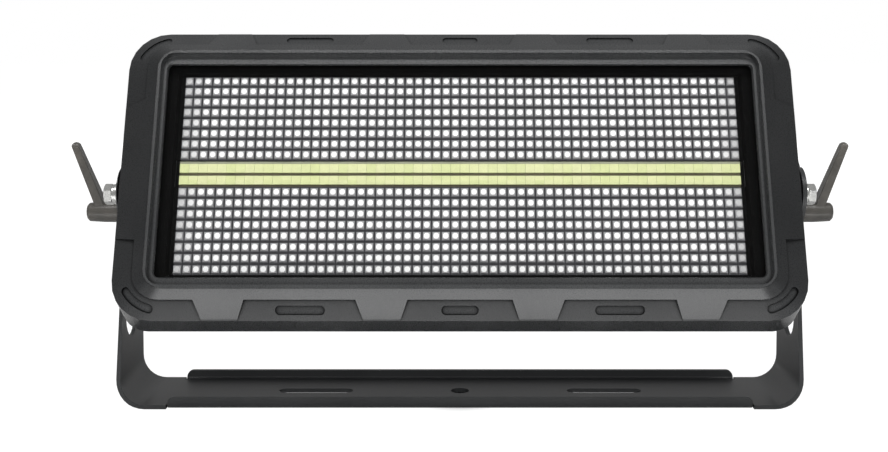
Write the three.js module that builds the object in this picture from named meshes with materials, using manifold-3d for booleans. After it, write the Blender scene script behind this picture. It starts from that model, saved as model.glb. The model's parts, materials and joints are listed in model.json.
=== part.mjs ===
// LED strobe light in a U yoke, in millimetres: X to the right, Y to the back, Z up.
// The floor is z = 0, and the tilt axis stands over the middle of the yoke's base.
// Pieces of the head are drawn in the head's own frame: X right, Y up its face, Z out of its face.
import * as THREE from "three";
import { mergeVertices } from "three/addons/utils/BufferGeometryUtils.js";
import Module from "manifold-3d";

const wasm = await Module();
wasm.setup();

const degrees = Math.PI / 180;
const quarterTurn = Math.PI / 2;
const halfTurn = Math.PI;
const fullTurn = 2 * Math.PI;

// Clearances that every piece shares
const fit = 0.3; // between faces that meet
const overrun = 2; // how far a cutter passes the face it cuts
const bite = 0.6; // how far one form sinks into the piece it is fused with
const mergeDistance = 0.001;

// The emitters: colour rows above and below two white rows
const led = {
  columns: 60,
  rows: 8,
  pitch: 6.25,
  rowPitch: 7.63,
  size: 5,
  height: 1.6,
  whiteHeight: 7.1,
  whiteThickness: 1.2,
  whitePitch: 8.46,
  whiteToColour: 8.98,
  whiteEdge: 1.25, // white board beyond its strips
  whiteSink: 2.05, // face of the white board behind the colour boards' face
  sideEdge: 2.4, // boards beyond the columns
  edge: 3.6, // colour boards beyond the outermost rows' middles
  boardThickness: 2,
  boardFront: 42.05, // face of the colour boards, in front of the tilt axis
};
const fieldWidth = led.columns * led.pitch;
const firstRow = led.whitePitch / 2 + led.whiteToColour;
const lastRow = firstRow + (led.rows - 1) * led.rowPitch;
const boardBack = led.boardFront - led.boardThickness;
const whiteFront = led.boardFront - led.whiteSink;
const whiteBack = whiteFront - led.boardThickness;

// Cast bezel, built outward from the emitters: window lip, ramp, raised crest, slope and rim
const bezel = {
  marginX: 9.6,
  marginY: 5.7,
  windowCorner: 4,
  lipFront: 53.9, // face of the lip round the window, in front of the tilt axis
  lipEase: 0.8,
  lipThickness: 3,
  lipX: 2.4,
  lipY: 4.2,
  lipCorner: 6.5,
  rampX: 1.7,
  rampY: 1.9,
  rampCorner: 9.5,
  crestX: 1.8,
  crestY: 2.1,
  crestRise: 4.2, // crest above the lip
  crestCorner: 13,
  riser: 0.9,
  riserDraft: 0.4,
  slopeX: 21.4,
  slopeY: 16.7,
  slopeDrop: 11.6,
  edgeEase: 1.2,
  rimCorner: 27,
  rimRearCorner: 17,
  rimRear: 13.5,
  rimDraft: 0.6,
  wall: 3.4,
  pocketX: 6, // glass pocket beyond the window
  pocketY: 6,
  pocketCorner: 6,
  pocketDepth: 4,
  slopeWall: 9.4, // from the slope's outer edge down to the inside of the slope
};
// Shares of the ramp's width and of its rise at which its hollow curve is drawn
const rampCurve = [[0.52, 0.13], [0.87, 0.5]];
const windowX = fieldWidth / 2 + bezel.marginX;
const windowY = lastRow + led.size / 2 + bezel.marginY;
const rampFoot = { x: windowX + bezel.lipX, y: windowY + bezel.lipY };
const crestInner = { x: rampFoot.x + bezel.rampX, y: rampFoot.y + bezel.rampY };
const crestOuter = { x: crestInner.x + bezel.crestX, y: crestInner.y + bezel.crestY };
const crestFoot = { x: crestOuter.x + bezel.riserDraft, y: crestOuter.y + bezel.riserDraft };
const slopeEdge = { x: crestFoot.x + bezel.slopeX, y: crestFoot.y + bezel.slopeY };
const rim = { x: slopeEdge.x + bezel.edgeEase, y: slopeEdge.y + bezel.edgeEase };
const crestFront = bezel.lipFront + bezel.crestRise;
const slopeFront = crestFront - bezel.riser;
const slopeRear = slopeFront - bezel.slopeDrop;
const rimFront = slopeRear - bezel.edgeEase;
const pocket = { x: windowX + bezel.pocketX, y: windowY + bezel.pocketY };
const lipRear = bezel.lipFront - bezel.lipThickness;

// Shallow panels moulded into the slope, with an obround groove in each
const panel = {
  innerShare: 0.64, // of the slope, from its outer edge
  outerShare: -0.2,
  depth: 2.4, // at the panel's inner edge
  rimDepth: 0.4, // beyond the slope's outer edge, where the panel runs out
  grooveDepth: 2.1, // below the panel, by the same measures
  grooveRimDepth: 0.5,
  grooveWidth: 5.5,
  grooveInset: 6.2, // of a groove's middle line from the rim
  flank: 4.8, // how far a panel's end leans over its height
  centreHalf: 33.6,
  sideFrom: 66.9,
  sideTo: 138.4,
  cornerFrom: 171,
  cornerDown: 46, // height at which the corner panel ends on the bezel's side
  centreGroove: 24,
  sideGroove: 32,
  cornerGrooveRadius: 27,
  cornerGrooveFrom: 15 * degrees,
  cornerGrooveTo: 58 * degrees,
};

// Glass, its seal and the black mask behind it
const glass = { thickness: 3.5, gasket: 1.5, gasketOverWindow: 0.6, corner: 5.5 };
const mask = { frontX: 4.2, frontY: 2.4, backX: 2.4, backY: 1, corner: 0.6, outerInset: 1.2 };
const glassFront = lipRear - fit - glass.gasket - fit;
const glassBack = glassFront - glass.thickness;
const board = { x: fieldWidth / 2 + led.sideEdge, y: lastRow + led.edge };
const whiteBoardHalf = led.whitePitch / 2 + led.whiteHeight / 2 + led.whiteEdge;

// Rear housing: a flange against the bezel, a lamp chamber, and fins behind its floor
const housing = {
  flangeInset: 1.4,
  flange: 3.4,
  seal: 1.5,
  sealWidth: 2.6,
  insetX: 15,
  insetY: 15.3,
  corner: 22,
  rearCorner: 16,
  rearEase: 2,
  draftX: 6,
  draftY: 4,
  wall: 3.2,
  rear: -57,
  floor: -20, // bottom of the channels between the fins
  floorThickness: 4,
  channels: 11,
  channelWall: 9, // between the driver compartment and the first channel
  channelTo: 190,
  finThickness: 3.2,
};
const sealFront = bezel.rimRear - fit;
const sealRear = sealFront - housing.seal;
const flangeFront = sealRear - fit;
const flangeRear = flangeFront - housing.flange;
const flangeHalf = { x: rim.x - housing.flangeInset, y: rim.y - housing.flangeInset };
const shellFront = { x: rim.x - housing.insetX, y: rim.y - housing.insetY };
const shellRear = { x: shellFront.x - housing.draftX, y: shellFront.y - housing.draftY };
const chamberRear = housing.floor + housing.floorThickness;

// Chassis sockets on the rear cover, in one row
const socket = {
  spacing: 36,
  rise: -48,
  width: 26,
  height: 31,
  corner: 3,
  flange: 2,
  collar: 6, // stands out from the flange
  edge: 6.3, // cover's opening beyond the outermost barrels
  barrel: 11.7,
  barrelDepth: 18,
  mouth: 9.6,
  mouthDepth: 12,
  pin: 1.2,
  pinLength: 5,
  pinCircle: 5,
  pins: 3,
  insert: 7.8,
  grooveDepth: 3,
  keyWidth: 3,
  keyHeight: 2,
};
const socketCount = 4;
const socketRowHalf = ((socketCount - 1) / 2) * socket.spacing + socket.barrel;

// Driver compartment in the middle of the housing, and its cover
const driver = {
  ledgeX: 4, // compartment beyond its mouth
  ledgeY: 12,
  corner: 10,
  lip: 6,
  mouthY: 62,
  mouthCorner: 14,
  coverMargin: 8, // cover beyond the mouth
  coverCorner: 9,
  cover: 5,
  coverEase: 1.6,
  seal: 1.2,
  sealInset: 1, // seal beyond the mouth
  sealWidth: 2.4,
  screwInset: 7.5,
  screwRadius: 1.5,
  screwHead: 3,
  screwHeadHeight: 2,
  screwLength: 5.4,
};
const mouth = { x: socketRowHalf + socket.edge, y: driver.mouthY };
const compartment = { x: mouth.x + driver.ledgeX, y: mouth.y + driver.ledgeY };
const coverHalf = { x: mouth.x + driver.coverMargin, y: mouth.y + driver.coverMargin };
const coverSealFront = housing.rear - fit;
const coverFront = coverSealFront - driver.seal - fit;
const coverRear = coverFront - driver.cover;

// Heat sink behind the boards: a plate whose outer ribs reach the lamp chamber's floor
const sink = {
  plate: 5,
  marginX: 9,
  marginY: 9,
  corner: 6,
  ribs: 7,
  ribThickness: 4,
  ribMargin: 12, // of the first rib from the driver compartment
  ribTo: 196,
  ribHalf: 70,
};
const sinkFront = boardBack - fit;
const sinkBack = sinkFront - sink.plate;
const sinkHalf = { x: windowX + sink.marginX, y: windowY + sink.marginY };

// Tilt axis and the lock behind it
const tilt = {
  height: 145,
  rest: 27 * degrees,
  up: 75 * degrees,
  down: 35 * degrees,
  lockRadius: 39.5,
  eyeRadius: 19,
  bossRadius: 10.6,
  seatRadius: 17,
  seat: 3,
  friction: 2,
  bolt: 8,
  boltClear: 0.6,
  boltEngage: 17,
  lockBossRadius: 9,
};

// Yoke: one bent plate with turned-up lips
const yoke = {
  headGap: 8.7, // between the bezel's rim and the arms
  thickness: 3,
  depth: 70,
  bend: 20,
  lipHeight: 9,
  lipLength: 404,
  lipBend: 4.5,
  lipCorner: 5,
  relief: 1,
  reliefDepth: 6,
  neckFront: 12,
  neckHeight: 86,
  eyeTop: 80 * degrees,
  paddleWall: 6,
  slotWidth: 9,
  clampSlotLength: 53,
  clampSlotWidth: 10,
  clampSlotSpacing: 206,
  centreHole: 13,
  armHole: 30,
  armHoleHeight: 57,
  armHoleBack: 7,
};
const armInner = rim.x + yoke.headGap;
const armOuter = armInner + yoke.thickness;
const paddleRadius = tilt.lockRadius + yoke.slotWidth / 2 + yoke.paddleWall;
const frictionInner = armInner - fit - tilt.friction;
const bossEnd = frictionInner - fit;

// Fasteners of the tilt axis
const washer = { radius: 8, thickness: 1.6 };
const springWasher = { radius: 7, thickness: 2, split: 2.2 };
const hexHead = { acrossFlats: 13, height: 5.3, ease: 0.8 };

// Clamping lever
const lever = {
  hubLength: 30.5,
  hubRadius: 7.5,
  hubEndRadius: 6.8,
  hubDome: 1.6,
  hubStraight: 17,
  bore: 12,
  armRoot: 18.8, // place of the arm along the hub
  armRootWidth: 7.4,
  armTipWidth: 5.4,
  armRise: 51,
  armLean: 18,
  armBlade: 11,
  armTipBlade: 8,
};

// Flange screws and the bosses that take them
const screw = {
  radius: 2,
  length: 16,
  headRadius: 3.8,
  headHeight: 2.6,
  clear: 0.3,
  bossRadius: 4.5,
  bossFront: 36,
  edge: 4.3, // inside the bezel's wall
  alongX: 140,
  alongY: 50,
};

// Control panel on the rear cover
const panelRear = {
  displayWidth: 52,
  displayHeight: 24,
  displayRise: 28,
  paneThickness: 2.5,
  paneSink: 0.5,
  moduleDepth: 4.2,
  moduleMargin: 2,
  buttonRise: 4,
  buttonSpacing: 20,
  buttonRadius: 4.5,
  buttonProud: 1.8,
  buttonFlange: 1.4,
  buttonFlangeDepth: 1,
  buttonStem: 1.5,
  buttonTravel: 1,
  boardWidth: 100,
  boardHeight: 52,
  boardRise: 20,
  boardThickness: 1.6,
  boardStand: 6,
  post: 3,
  postInset: 5,
};
const buttonCount = 4;
// Power supply, breather plug and safety eye
const supply = { width: 144, height: 90, depth: 30 };
const vent = { radius: 5, headRadius: 7, head: 3, rise: 54 };
const eye = {
  drop: 75,
  base: 4.4,
  baseHeight: 3,
  ring: 8,
  wire: 2.2,
  sink: 1.2,
  stud: 2.2,
  studLength: 5.4,
};

// Steps that round forms are drawn with
const steps = {
  corner: 6,
  coarse: 1,
  arc: 3,
  bend: 4,
  fine: 7,
  round: 20,
  small: 10,
  hub: 14,
  ring: 14,
  wire: 5,
};
const hexSides = 6;

const finish = (color, roughness, metalness) =>
  new THREE.MeshStandardMaterial({ color, roughness, metalness });
const materials = {
  casting: finish("#33363a", 0.55, 0.3),
  plate: finish("#3a3d42", 0.5, 0.3),
  blackPlastic: finish("#141516", 0.5, 0),
  rubber: finish("#1b1b1c", 0.9, 0),
  glass: finish("#dfe6ea", 0.05, 0),
  circuit: finish("#50555a", 0.6, 0),
  whiteEmitter: finish("#e9e79a", 0.5, 0),
  aluminium: finish("#b9bcc0", 0.4, 0.9),
  steel: finish("#c9cbce", 0.3, 1),
  supplyCase: finish("#a9adb1", 0.45, 0.8),
  display: finish("#17242e", 0.1, 0),
};

// Solids: three.js draws every form, and the solid library only joins and cuts them.
function solidOf(geometry) {
  const open = geometry.index ? geometry.toNonIndexed() : geometry;
  const bare = new THREE.BufferGeometry();
  bare.setAttribute("position", open.getAttribute("position").clone());
  const merged = mergeVertices(bare, mergeDistance);
  const corners = merged.index.array;
  const kept = [];
  for (let i = 0; i < corners.length; i += 3) {
    const [a, b, c] = corners.slice(i, i + 3);
    if (a !== b && b !== c && c !== a) kept.push(a, b, c);
  }
  const mesh = new wasm.Mesh({
    numProp: 3,
    vertProperties: merged.attributes.position.array,
    triVerts: new Uint32Array(kept),
  });
  return new wasm.Manifold(mesh);
}

function fuse(...solids) {
  return solids.reduce((whole, next) => whole.add(next));
}

function cut(solid, ...cutters) {
  return cutters.reduce((whole, next) => whole.subtract(next), solid);
}

function geometryOf(solid) {
  const { vertProperties, triVerts } = solid.getMesh();
  const geometry = new THREE.BufferGeometry();
  geometry.setAttribute("position", new THREE.BufferAttribute(new Float32Array(vertProperties), 3));
  geometry.setIndex(new THREE.BufferAttribute(new Uint32Array(triVerts), 1));
  return geometry;
}

// The same form on the other side of the plane x = 0
function mirrored(geometry) {
  const copy = geometry.clone().scale(-1, 1, 1);
  const corners = copy.index.array;
  for (let i = 0; i < corners.length; i += 3) {
    [corners[i + 1], corners[i + 2]] = [corners[i + 2], corners[i + 1]];
  }
  return copy;
}

function addGeometry(parent, name, geometry, material) {
  const shown = geometry.toNonIndexed();
  shown.computeVertexNormals();
  const mesh = new THREE.Mesh(shown, material);
  mesh.name = name;
  parent.add(mesh);
}

function addPiece(parent, name, solid, material) {
  addGeometry(parent, name, geometryOf(solid), material);
}

function addPair(parent, name, solid, material) {
  const geometry = geometryOf(solid);
  addGeometry(parent, `${name}_right`, geometry, material);
  addGeometry(parent, `${name}_left`, mirrored(geometry), material);
}

// Extrusions between two places on an axis
function prism(shape, length, curveSegments) {
  return new THREE.ExtrudeGeometry(shape, { depth: length, bevelEnabled: false, curveSegments });
}

function alongZ(shape, from, to, curveSegments = steps.arc) {
  return solidOf(prism(shape, to - from, curveSegments).translate(0, 0, from));
}

// The outline's first axis becomes X and its second Z.
function alongY(shape, from, to, curveSegments = steps.arc) {
  const geometry = prism(shape, to - from, curveSegments).translate(0, 0, -to);
  return solidOf(geometry.rotateX(quarterTurn));
}

// The outline's first axis becomes Y and its second Z.
function alongX(shape, from, to, curveSegments = steps.arc) {
  const turn = new THREE.Matrix4().makeBasis(
    new THREE.Vector3(0, 1, 0),
    new THREE.Vector3(0, 0, 1),
    new THREE.Vector3(1, 0, 0),
  );
  return solidOf(prism(shape, to - from, curveSegments).translate(0, 0, from).applyMatrix4(turn));
}

function circle(radius, x = 0, y = 0) {
  const shape = new THREE.Shape();
  shape.absarc(x, y, radius, 0, fullTurn, false);
  return shape;
}

function roundedRectangle(halfX, halfY, radius, x = 0, y = 0) {
  const shape = new THREE.Shape();
  shape.absarc(x + halfX - radius, y + halfY - radius, radius, 0, quarterTurn, false);
  shape.absarc(x - halfX + radius, y + halfY - radius, radius, quarterTurn, halfTurn, false);
  shape.absarc(x - halfX + radius, y - halfY + radius, radius, halfTurn, halfTurn + quarterTurn, false);
  shape.absarc(x + halfX - radius, y - halfY + radius, radius, halfTurn + quarterTurn, fullTurn, false);
  return shape;
}

function rectangle(left, bottom, right, top) {
  return polygon([[left, bottom], [right, bottom], [right, top], [left, top]]);
}

function polygon(points) {
  return new THREE.Shape(points.map(([x, y]) => new THREE.Vector2(x, y)));
}

function obround(length, width, x = 0, y = 0) {
  return roundedRectangle(length / 2, width / 2, width / 2, x, y);
}

// A slot that runs on a circle about (x, y), with round ends
function arcSlot(radius, width, from, to, x = 0, y = 0) {
  const shape = new THREE.Shape();
  const endAt = (angle) => [x + radius * Math.cos(angle), y + radius * Math.sin(angle)];
  shape.absarc(x, y, radius + width / 2, from, to, false);
  shape.absarc(...endAt(to), width / 2, to, to + halfTurn, false);
  shape.absarc(x, y, radius - width / 2, to, from, true);
  shape.absarc(...endAt(from), width / 2, from + halfTurn, from + fullTurn, false);
  return shape;
}

// Lofts through rounded rectangles { x, y, r, z }, given as half sizes
function sectionPoints({ x, y, r, z }) {
  const points = [];
  for (let corner = 0; corner < 4; corner += 1) {
    const signX = corner === 0 || corner === 3 ? 1 : -1;
    const signY = corner < 2 ? 1 : -1;
    for (let step = 0; step <= steps.corner; step += 1) {
      const angle = (corner + step / steps.corner) * quarterTurn;
      const across = signX * (x - r) + r * Math.cos(angle);
      const up = signY * (y - r) + r * Math.sin(angle);
      points.push([across, up, z]);
    }
  }
  return points;
}

function loft(sections, closed) {
  const rings = sections.map(sectionPoints);
  const count = rings[0].length;
  const triangles = [];
  const spans = closed ? rings.length : rings.length - 1;
  for (let i = 0; i < spans; i += 1) {
    const low = rings[i];
    const high = rings[(i + 1) % rings.length];
    for (let j = 0; j < count; j += 1) {
      const k = (j + 1) % count;
      triangles.push(low[j], low[k], high[k], low[j], high[k], high[j]);
    }
  }
  if (!closed) {
    const bottom = rings[0];
    const top = rings[rings.length - 1];
    for (let j = 1; j < count - 1; j += 1) {
      triangles.push(bottom[0], bottom[j + 1], bottom[j], top[0], top[j], top[j + 1]);
    }
  }
  const geometry = new THREE.BufferGeometry();
  geometry.setAttribute("position", new THREE.Float32BufferAttribute(triangles.flat(), 3));
  return solidOf(geometry);
}

const ringLoft = (sections) => loft(sections, true);
const block = (sections) => loft(sections, false);

// A turned form: its profile runs [radius, place] along the X axis and closes on that axis.
function turned(profile, segments, y = 0, z = 0) {
  const points = profile.map(([radius, along]) => new THREE.Vector2(radius, along));
  const geometry = new THREE.LatheGeometry(points, segments);
  return solidOf(geometry.rotateZ(-quarterTurn).translate(0, y, z));
}

function rodX(radius, from, to, y = 0, z = 0, segments = steps.round) {
  return turned([[0, from], [radius, from], [radius, to], [0, to]], segments, y, z);
}

function rodZ(radius, from, to, x = 0, y = 0, segments = steps.round) {
  const geometry = new THREE.CylinderGeometry(radius, radius, to - from, segments);
  return solidOf(geometry.rotateX(quarterTurn).translate(x, y, (from + to) / 2));
}

// Angle about a circle's centre at which a line from a point outside touches it
function tangentAngle(centreX, centreY, radius, x, y, side) {
  const distance = Math.hypot(x - centreX, y - centreY);
  return Math.atan2(y - centreY, x - centreX) + side * Math.acos(radius / distance);
}

// Yoke
function yokeSection(top) {
  const half = armOuter;
  const { bend, thickness } = yoke;
  const shape = new THREE.Shape();
  shape.moveTo(-half, top);
  shape.absarc(-half + bend, bend, bend, halfTurn, halfTurn + quarterTurn, false);
  shape.absarc(half - bend, bend, bend, -quarterTurn, 0, false);
  shape.lineTo(half, top);
  shape.lineTo(half - thickness, top);
  shape.absarc(half - bend, bend, bend - thickness, 0, -quarterTurn, true);
  shape.absarc(-half + bend, bend, bend - thickness, -quarterTurn, -halfTurn, true);
  shape.lineTo(-half + thickness, top);
  return shape;
}

// Side view of the arm: it leans back from the base, carries the eye, and spreads into a paddle
// behind the eye for the lock's curved slot.
function armOutline() {
  const front = -yoke.depth / 2;
  const back = yoke.depth / 2;
  const slotMargin = Math.asin((yoke.slotWidth / 2 + yoke.paddleWall) / tilt.lockRadius);
  const paddleFrom = tangentAngle(0, tilt.height, paddleRadius, back, yoke.thickness, 1);
  const neckAngle = halfTurn + Math.acos(yoke.neckFront / tilt.eyeRadius);
  const shape = new THREE.Shape();
  shape.moveTo(front, 0);
  shape.lineTo(back, 0);
  shape.lineTo(back, yoke.thickness);
  shape.absarc(0, tilt.height, paddleRadius, paddleFrom, tilt.down + slotMargin, false);
  shape.absarc(0, tilt.height, tilt.eyeRadius, yoke.eyeTop, neckAngle, false);
  shape.lineTo(-yoke.neckFront, yoke.neckHeight);
  shape.lineTo(front, yoke.thickness);
  return shape;
}

// One lip along the front edge: a bent strip whose top corners are rounded
function frontLip() {
  const front = -yoke.depth / 2;
  const { lipBend, lipHeight, thickness } = yoke;
  const root = front + lipBend + thickness;
  const section = new THREE.Shape();
  section.moveTo(root, 0);
  section.lineTo(root, thickness);
  section.absarc(front + lipBend, lipBend, lipBend - thickness, -quarterTurn, -halfTurn, true);
  section.lineTo(front + thickness, lipHeight);
  section.lineTo(front, lipHeight);
  section.absarc(front + lipBend, lipBend, lipBend, halfTurn, halfTurn + quarterTurn, false);
  const half = yoke.lipLength / 2;
  const strip = alongX(section, -half, half);
  const outline = new THREE.Shape();
  outline.moveTo(-half, 0);
  outline.lineTo(half, 0);
  outline.absarc(half - yoke.lipCorner, lipHeight - yoke.lipCorner, yoke.lipCorner, 0, quarterTurn, false);
  outline.absarc(-half + yoke.lipCorner, lipHeight - yoke.lipCorner, yoke.lipCorner, quarterTurn, halfTurn);
  return strip.intersect(alongY(outline, front - overrun, root + overrun));
}

function lipClearance() {
  const front = -yoke.depth / 2;
  const half = yoke.lipLength / 2;
  const edge = rectangle(-half, -overrun, half, yoke.thickness + overrun);
  const strip = alongY(edge, front - overrun, front + yoke.lipBend);
  const notchAt = (x) => rectangle(x, -overrun, x + yoke.relief, yoke.thickness + overrun);
  const notches = [half, -half - yoke.relief].map((x) =>
    alongY(notchAt(x), front - overrun, front + yoke.reliefDepth),
  );
  return fuse(strip, ...notches);
}

function turnedAbout(solid) {
  return solidOf(geometryOf(solid).rotateZ(halfTurn));
}

function makeYoke() {
  const top = tilt.height + paddleRadius;
  const bentPlate = alongY(yokeSection(top), -yoke.depth, yoke.depth, steps.bend);
  const sideView = alongX(armOutline(), -armOuter - overrun, armOuter + overrun, steps.fine);
  const lip = frontLip();
  const gap = lipClearance();
  const across = [-armOuter - overrun, armOuter + overrun];
  const through = [-overrun, yoke.thickness + overrun];
  const clampSlots = [-1, 1].map((side) => {
    const slot = obround(yoke.clampSlotLength, yoke.clampSlotWidth, (side * yoke.clampSlotSpacing) / 2);
    return alongZ(slot, ...through);
  });
  const lockSlot = arcSlot(tilt.lockRadius, yoke.slotWidth, -tilt.up, tilt.down, 0, tilt.height);
  const plate = cut(
    bentPlate.intersect(sideView),
    gap,
    turnedAbout(gap),
    ...clampSlots,
    alongZ(circle(yoke.centreHole / 2), ...through, steps.small),
    alongX(circle(yoke.armHole / 2, yoke.armHoleBack, yoke.armHoleHeight), ...across, steps.small),
    alongX(circle((tilt.bolt + tilt.boltClear) / 2, 0, tilt.height), ...across, steps.small),
    alongX(lockSlot, ...across, steps.fine),
  );
  return fuse(plate, lip, turnedAbout(lip));
}

// Bezel
const footCorner = bezel.crestCorner + bezel.riserDraft;
const atSlopeShare = (share, sink) => ({
  x: slopeEdge.x + (crestFoot.x - slopeEdge.x) * share,
  y: slopeEdge.y + (crestFoot.y - slopeEdge.y) * share,
  r: bezel.rimCorner - bezel.edgeEase + (footCorner - bezel.rimCorner + bezel.edgeEase) * share,
  z: slopeRear + bezel.slopeDrop * share - sink,
});

function bezelShell() {
  const section = (half, inset, r, z) => ({ x: half.x - inset, y: half.y - inset, r, z });
  const { rimCorner, wall, edgeEase, lipEase, lipCorner, rampCorner, lipFront } = bezel;
  const window = { x: windowX, y: windowY };
  const inside = { x: rim.x - wall, y: rim.y - wall };
  const insideCorner = rimCorner - wall;
  const insideRearCorner = bezel.rimRearCorner - wall - bezel.rimDraft;
  const ramp = rampCurve.map(([across, up]) => ({
    x: rampFoot.x + bezel.rampX * across,
    y: rampFoot.y + bezel.rampY * across,
    r: lipCorner + (rampCorner - lipCorner) * across,
    z: lipFront + bezel.crestRise * up,
  }));
  return ringLoft([
    section(rim, bezel.rimDraft, bezel.rimRearCorner - bezel.rimDraft, bezel.rimRear),
    section(rim, 0, rimCorner, rimFront),
    section(slopeEdge, 0, rimCorner - edgeEase, slopeRear),
    section(crestFoot, 0, footCorner, slopeFront),
    section(crestOuter, 0, bezel.crestCorner, crestFront),
    section(crestInner, 0, rampCorner, crestFront),
    ...ramp.reverse(),
    section(rampFoot, 0, lipCorner, lipFront),
    section(window, -lipEase, bezel.windowCorner + lipEase, lipFront),
    section(window, 0, bezel.windowCorner, lipFront - lipEase),
    section(window, 0, bezel.windowCorner, lipRear),
    section(pocket, 0, bezel.pocketCorner, lipRear),
    section(pocket, 0, bezel.pocketCorner, lipRear - bezel.pocketDepth),
    section(inside, 0, insideCorner, lipRear - bezel.pocketDepth - bezel.slopeWall),
    section(inside, bezel.rimDraft, insideRearCorner, bezel.rimRear),
  ]);
}

// The layer of the slope that panels or grooves take away, all the way round
function slopeLayer(innerDepth, rimDepth) {
  const inner = atSlopeShare(panel.innerShare, innerDepth);
  const outer = atSlopeShare(panel.outerShare, rimDepth);
  const above = crestFront + overrun;
  return ringLoft([outer, { ...outer, z: above }, { ...inner, z: above }, inner]);
}

// Outlines of the panels in one quarter of the bezel, seen from the front
function panelOutlines() {
  const innerY = atSlopeShare(panel.innerShare, 0).y;
  const lean = panel.flank / (rim.y - innerY);
  const low = crestFoot.y;
  const high = rim.y + overrun;
  const reach = (place, side, y) => place + side * lean * (y - innerY);
  const trapezoid = (from, to) =>
    polygon([
      [reach(from, -1, low), low],
      [reach(to, 1, low), low],
      [reach(to, 1, high), high],
      [reach(from, -1, high), high],
    ]);
  const corner = polygon([
    [reach(panel.cornerFrom, -1, low), low],
    [crestFoot.x, panel.cornerDown + panel.flank],
    [rim.x + overrun, panel.cornerDown],
    [rim.x + overrun, high],
    [reach(panel.cornerFrom, -1, high), high],
  ]);
  const centre = trapezoid(-panel.centreHalf, panel.centreHalf);
  return [centre, trapezoid(panel.sideFrom, panel.sideTo), corner];
}

function grooveOutlines() {
  const middle = rim.y - panel.grooveInset;
  const cornerX = rim.x - panel.grooveInset - panel.cornerGrooveRadius;
  const cornerY = middle - panel.cornerGrooveRadius;
  const sideMiddle = (panel.sideFrom + panel.sideTo) / 2;
  return [
    obround(panel.centreGroove, panel.grooveWidth, 0, middle),
    obround(panel.sideGroove, panel.grooveWidth, sideMiddle, middle),
    arcSlot(
      panel.cornerGrooveRadius,
      panel.grooveWidth,
      quarterTurn - panel.cornerGrooveTo,
      quarterTurn - panel.cornerGrooveFrom,
      cornerX,
      cornerY,
    ),
  ];
}

// Copies of a quarter's cutter in all four quarters
function inFourQuarters(solid) {
  const right = geometryOf(solid);
  const left = mirrored(right);
  const turns = [right, left].map((geometry) => geometry.clone().rotateZ(halfTurn));
  return fuse(...[right, left, ...turns].map(solidOf));
}

function panelCutter(outlines, innerDepth, rimDepth) {
  const from = rimFront - bezel.slopeDrop;
  const prisms = outlines.map((outline) => alongZ(outline, from, crestFront + overrun));
  return inFourQuarters(fuse(...prisms)).intersect(slopeLayer(innerDepth, rimDepth));
}

// Places of the flange screws round the bezel
function screwPlaces() {
  const y = rim.y - bezel.wall - screw.edge + screw.clear;
  const x = rim.x - bezel.wall - screw.edge + screw.clear;
  const places = [];
  for (const signX of [-1, 1]) {
    for (const signY of [-1, 1]) {
      places.push([signX * screw.alongX, signY * y], [signX * x, signY * screw.alongY]);
    }
  }
  return places;
}

function makeBezel() {
  const bossRear = bezel.rimRear;
  const bosses = screwPlaces().map(([x, y]) =>
    rodZ(screw.bossRadius, bossRear, screw.bossFront, x, y, steps.small),
  );
  const holes = screwPlaces().map(([x, y]) =>
    rodZ(screw.radius + screw.clear, bossRear - overrun, bossRear + screw.length, x, y, steps.small),
  );
  return cut(
    fuse(bezelShell(), ...bosses),
    panelCutter(panelOutlines(), panel.depth, panel.rimDepth),
    panelCutter(grooveOutlines(), panel.depth + panel.grooveDepth, panel.rimDepth + panel.grooveRimDepth),
    ...holes,
  );
}

// Glass, seals and mask
function makeGlassGasket() {
  const outer = { x: pocket.x - fit, y: pocket.y - fit, r: glass.corner };
  const inner = {
    x: windowX + glass.gasketOverWindow,
    y: windowY + glass.gasketOverWindow,
    r: bezel.windowCorner,
  };
  const front = lipRear - fit;
  const rear = front - glass.gasket;
  return ringLoft([
    { ...outer, z: rear },
    { ...outer, z: front },
    { ...inner, z: front },
    { ...inner, z: rear },
  ]);
}

function makeGlass() {
  const half = { x: pocket.x - fit, y: pocket.y - fit, r: glass.corner };
  return block([
    { ...half, z: glassBack },
    { ...half, z: glassFront },
  ]);
}

function makeMask() {
  const rear = sinkFront + fit;
  const front = glassBack - fit;
  const outer = {
    x: pocket.x - mask.outerInset,
    y: pocket.y - mask.outerInset,
    r: glass.corner,
  };
  const opening = (marginX, marginY, z) => ({
    x: fieldWidth / 2 + marginX,
    y: lastRow + led.size / 2 + marginY,
    r: mask.corner,
    z,
  });
  return ringLoft([
    { ...outer, z: rear },
    { ...outer, z: front },
    opening(mask.frontX, mask.frontY, front),
    opening(mask.backX + fit, mask.backY + fit, rear),
  ]);
}

// Emitter boards: each colour row is one bar here
function makeColourBoard(side) {
  const near = whiteBoardHalf + fit;
  const [low, high] = side > 0 ? [near, board.y] : [-board.y, -near];
  const plate = alongZ(rectangle(-board.x, low, board.x, high), boardBack, led.boardFront);
  const bars = [];
  for (let row = 0; row < led.rows; row += 1) {
    const y = side * (firstRow + row * led.rowPitch);
    const half = fieldWidth / 2 - (led.pitch - led.size) / 2;
    const outline = rectangle(-half, y - led.size / 2, half, y + led.size / 2);
    bars.push(alongZ(outline, led.boardFront - bite, led.boardFront + led.height));
  }
  return fuse(plate, ...bars);
}

function makeWhiteBoard() {
  const outline = rectangle(-board.x, -whiteBoardHalf, board.x, whiteBoardHalf);
  const plate = alongZ(outline, whiteBack, whiteFront);
  const strips = [-1, 1].map((side) => {
    const y = (side * led.whitePitch) / 2;
    const half = led.whiteHeight / 2;
    const strip = rectangle(-fieldWidth / 2, y - half, fieldWidth / 2, y + half);
    return alongZ(strip, whiteFront - bite, whiteFront + led.whiteThickness);
  });
  return fuse(plate, ...strips);
}

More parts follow.
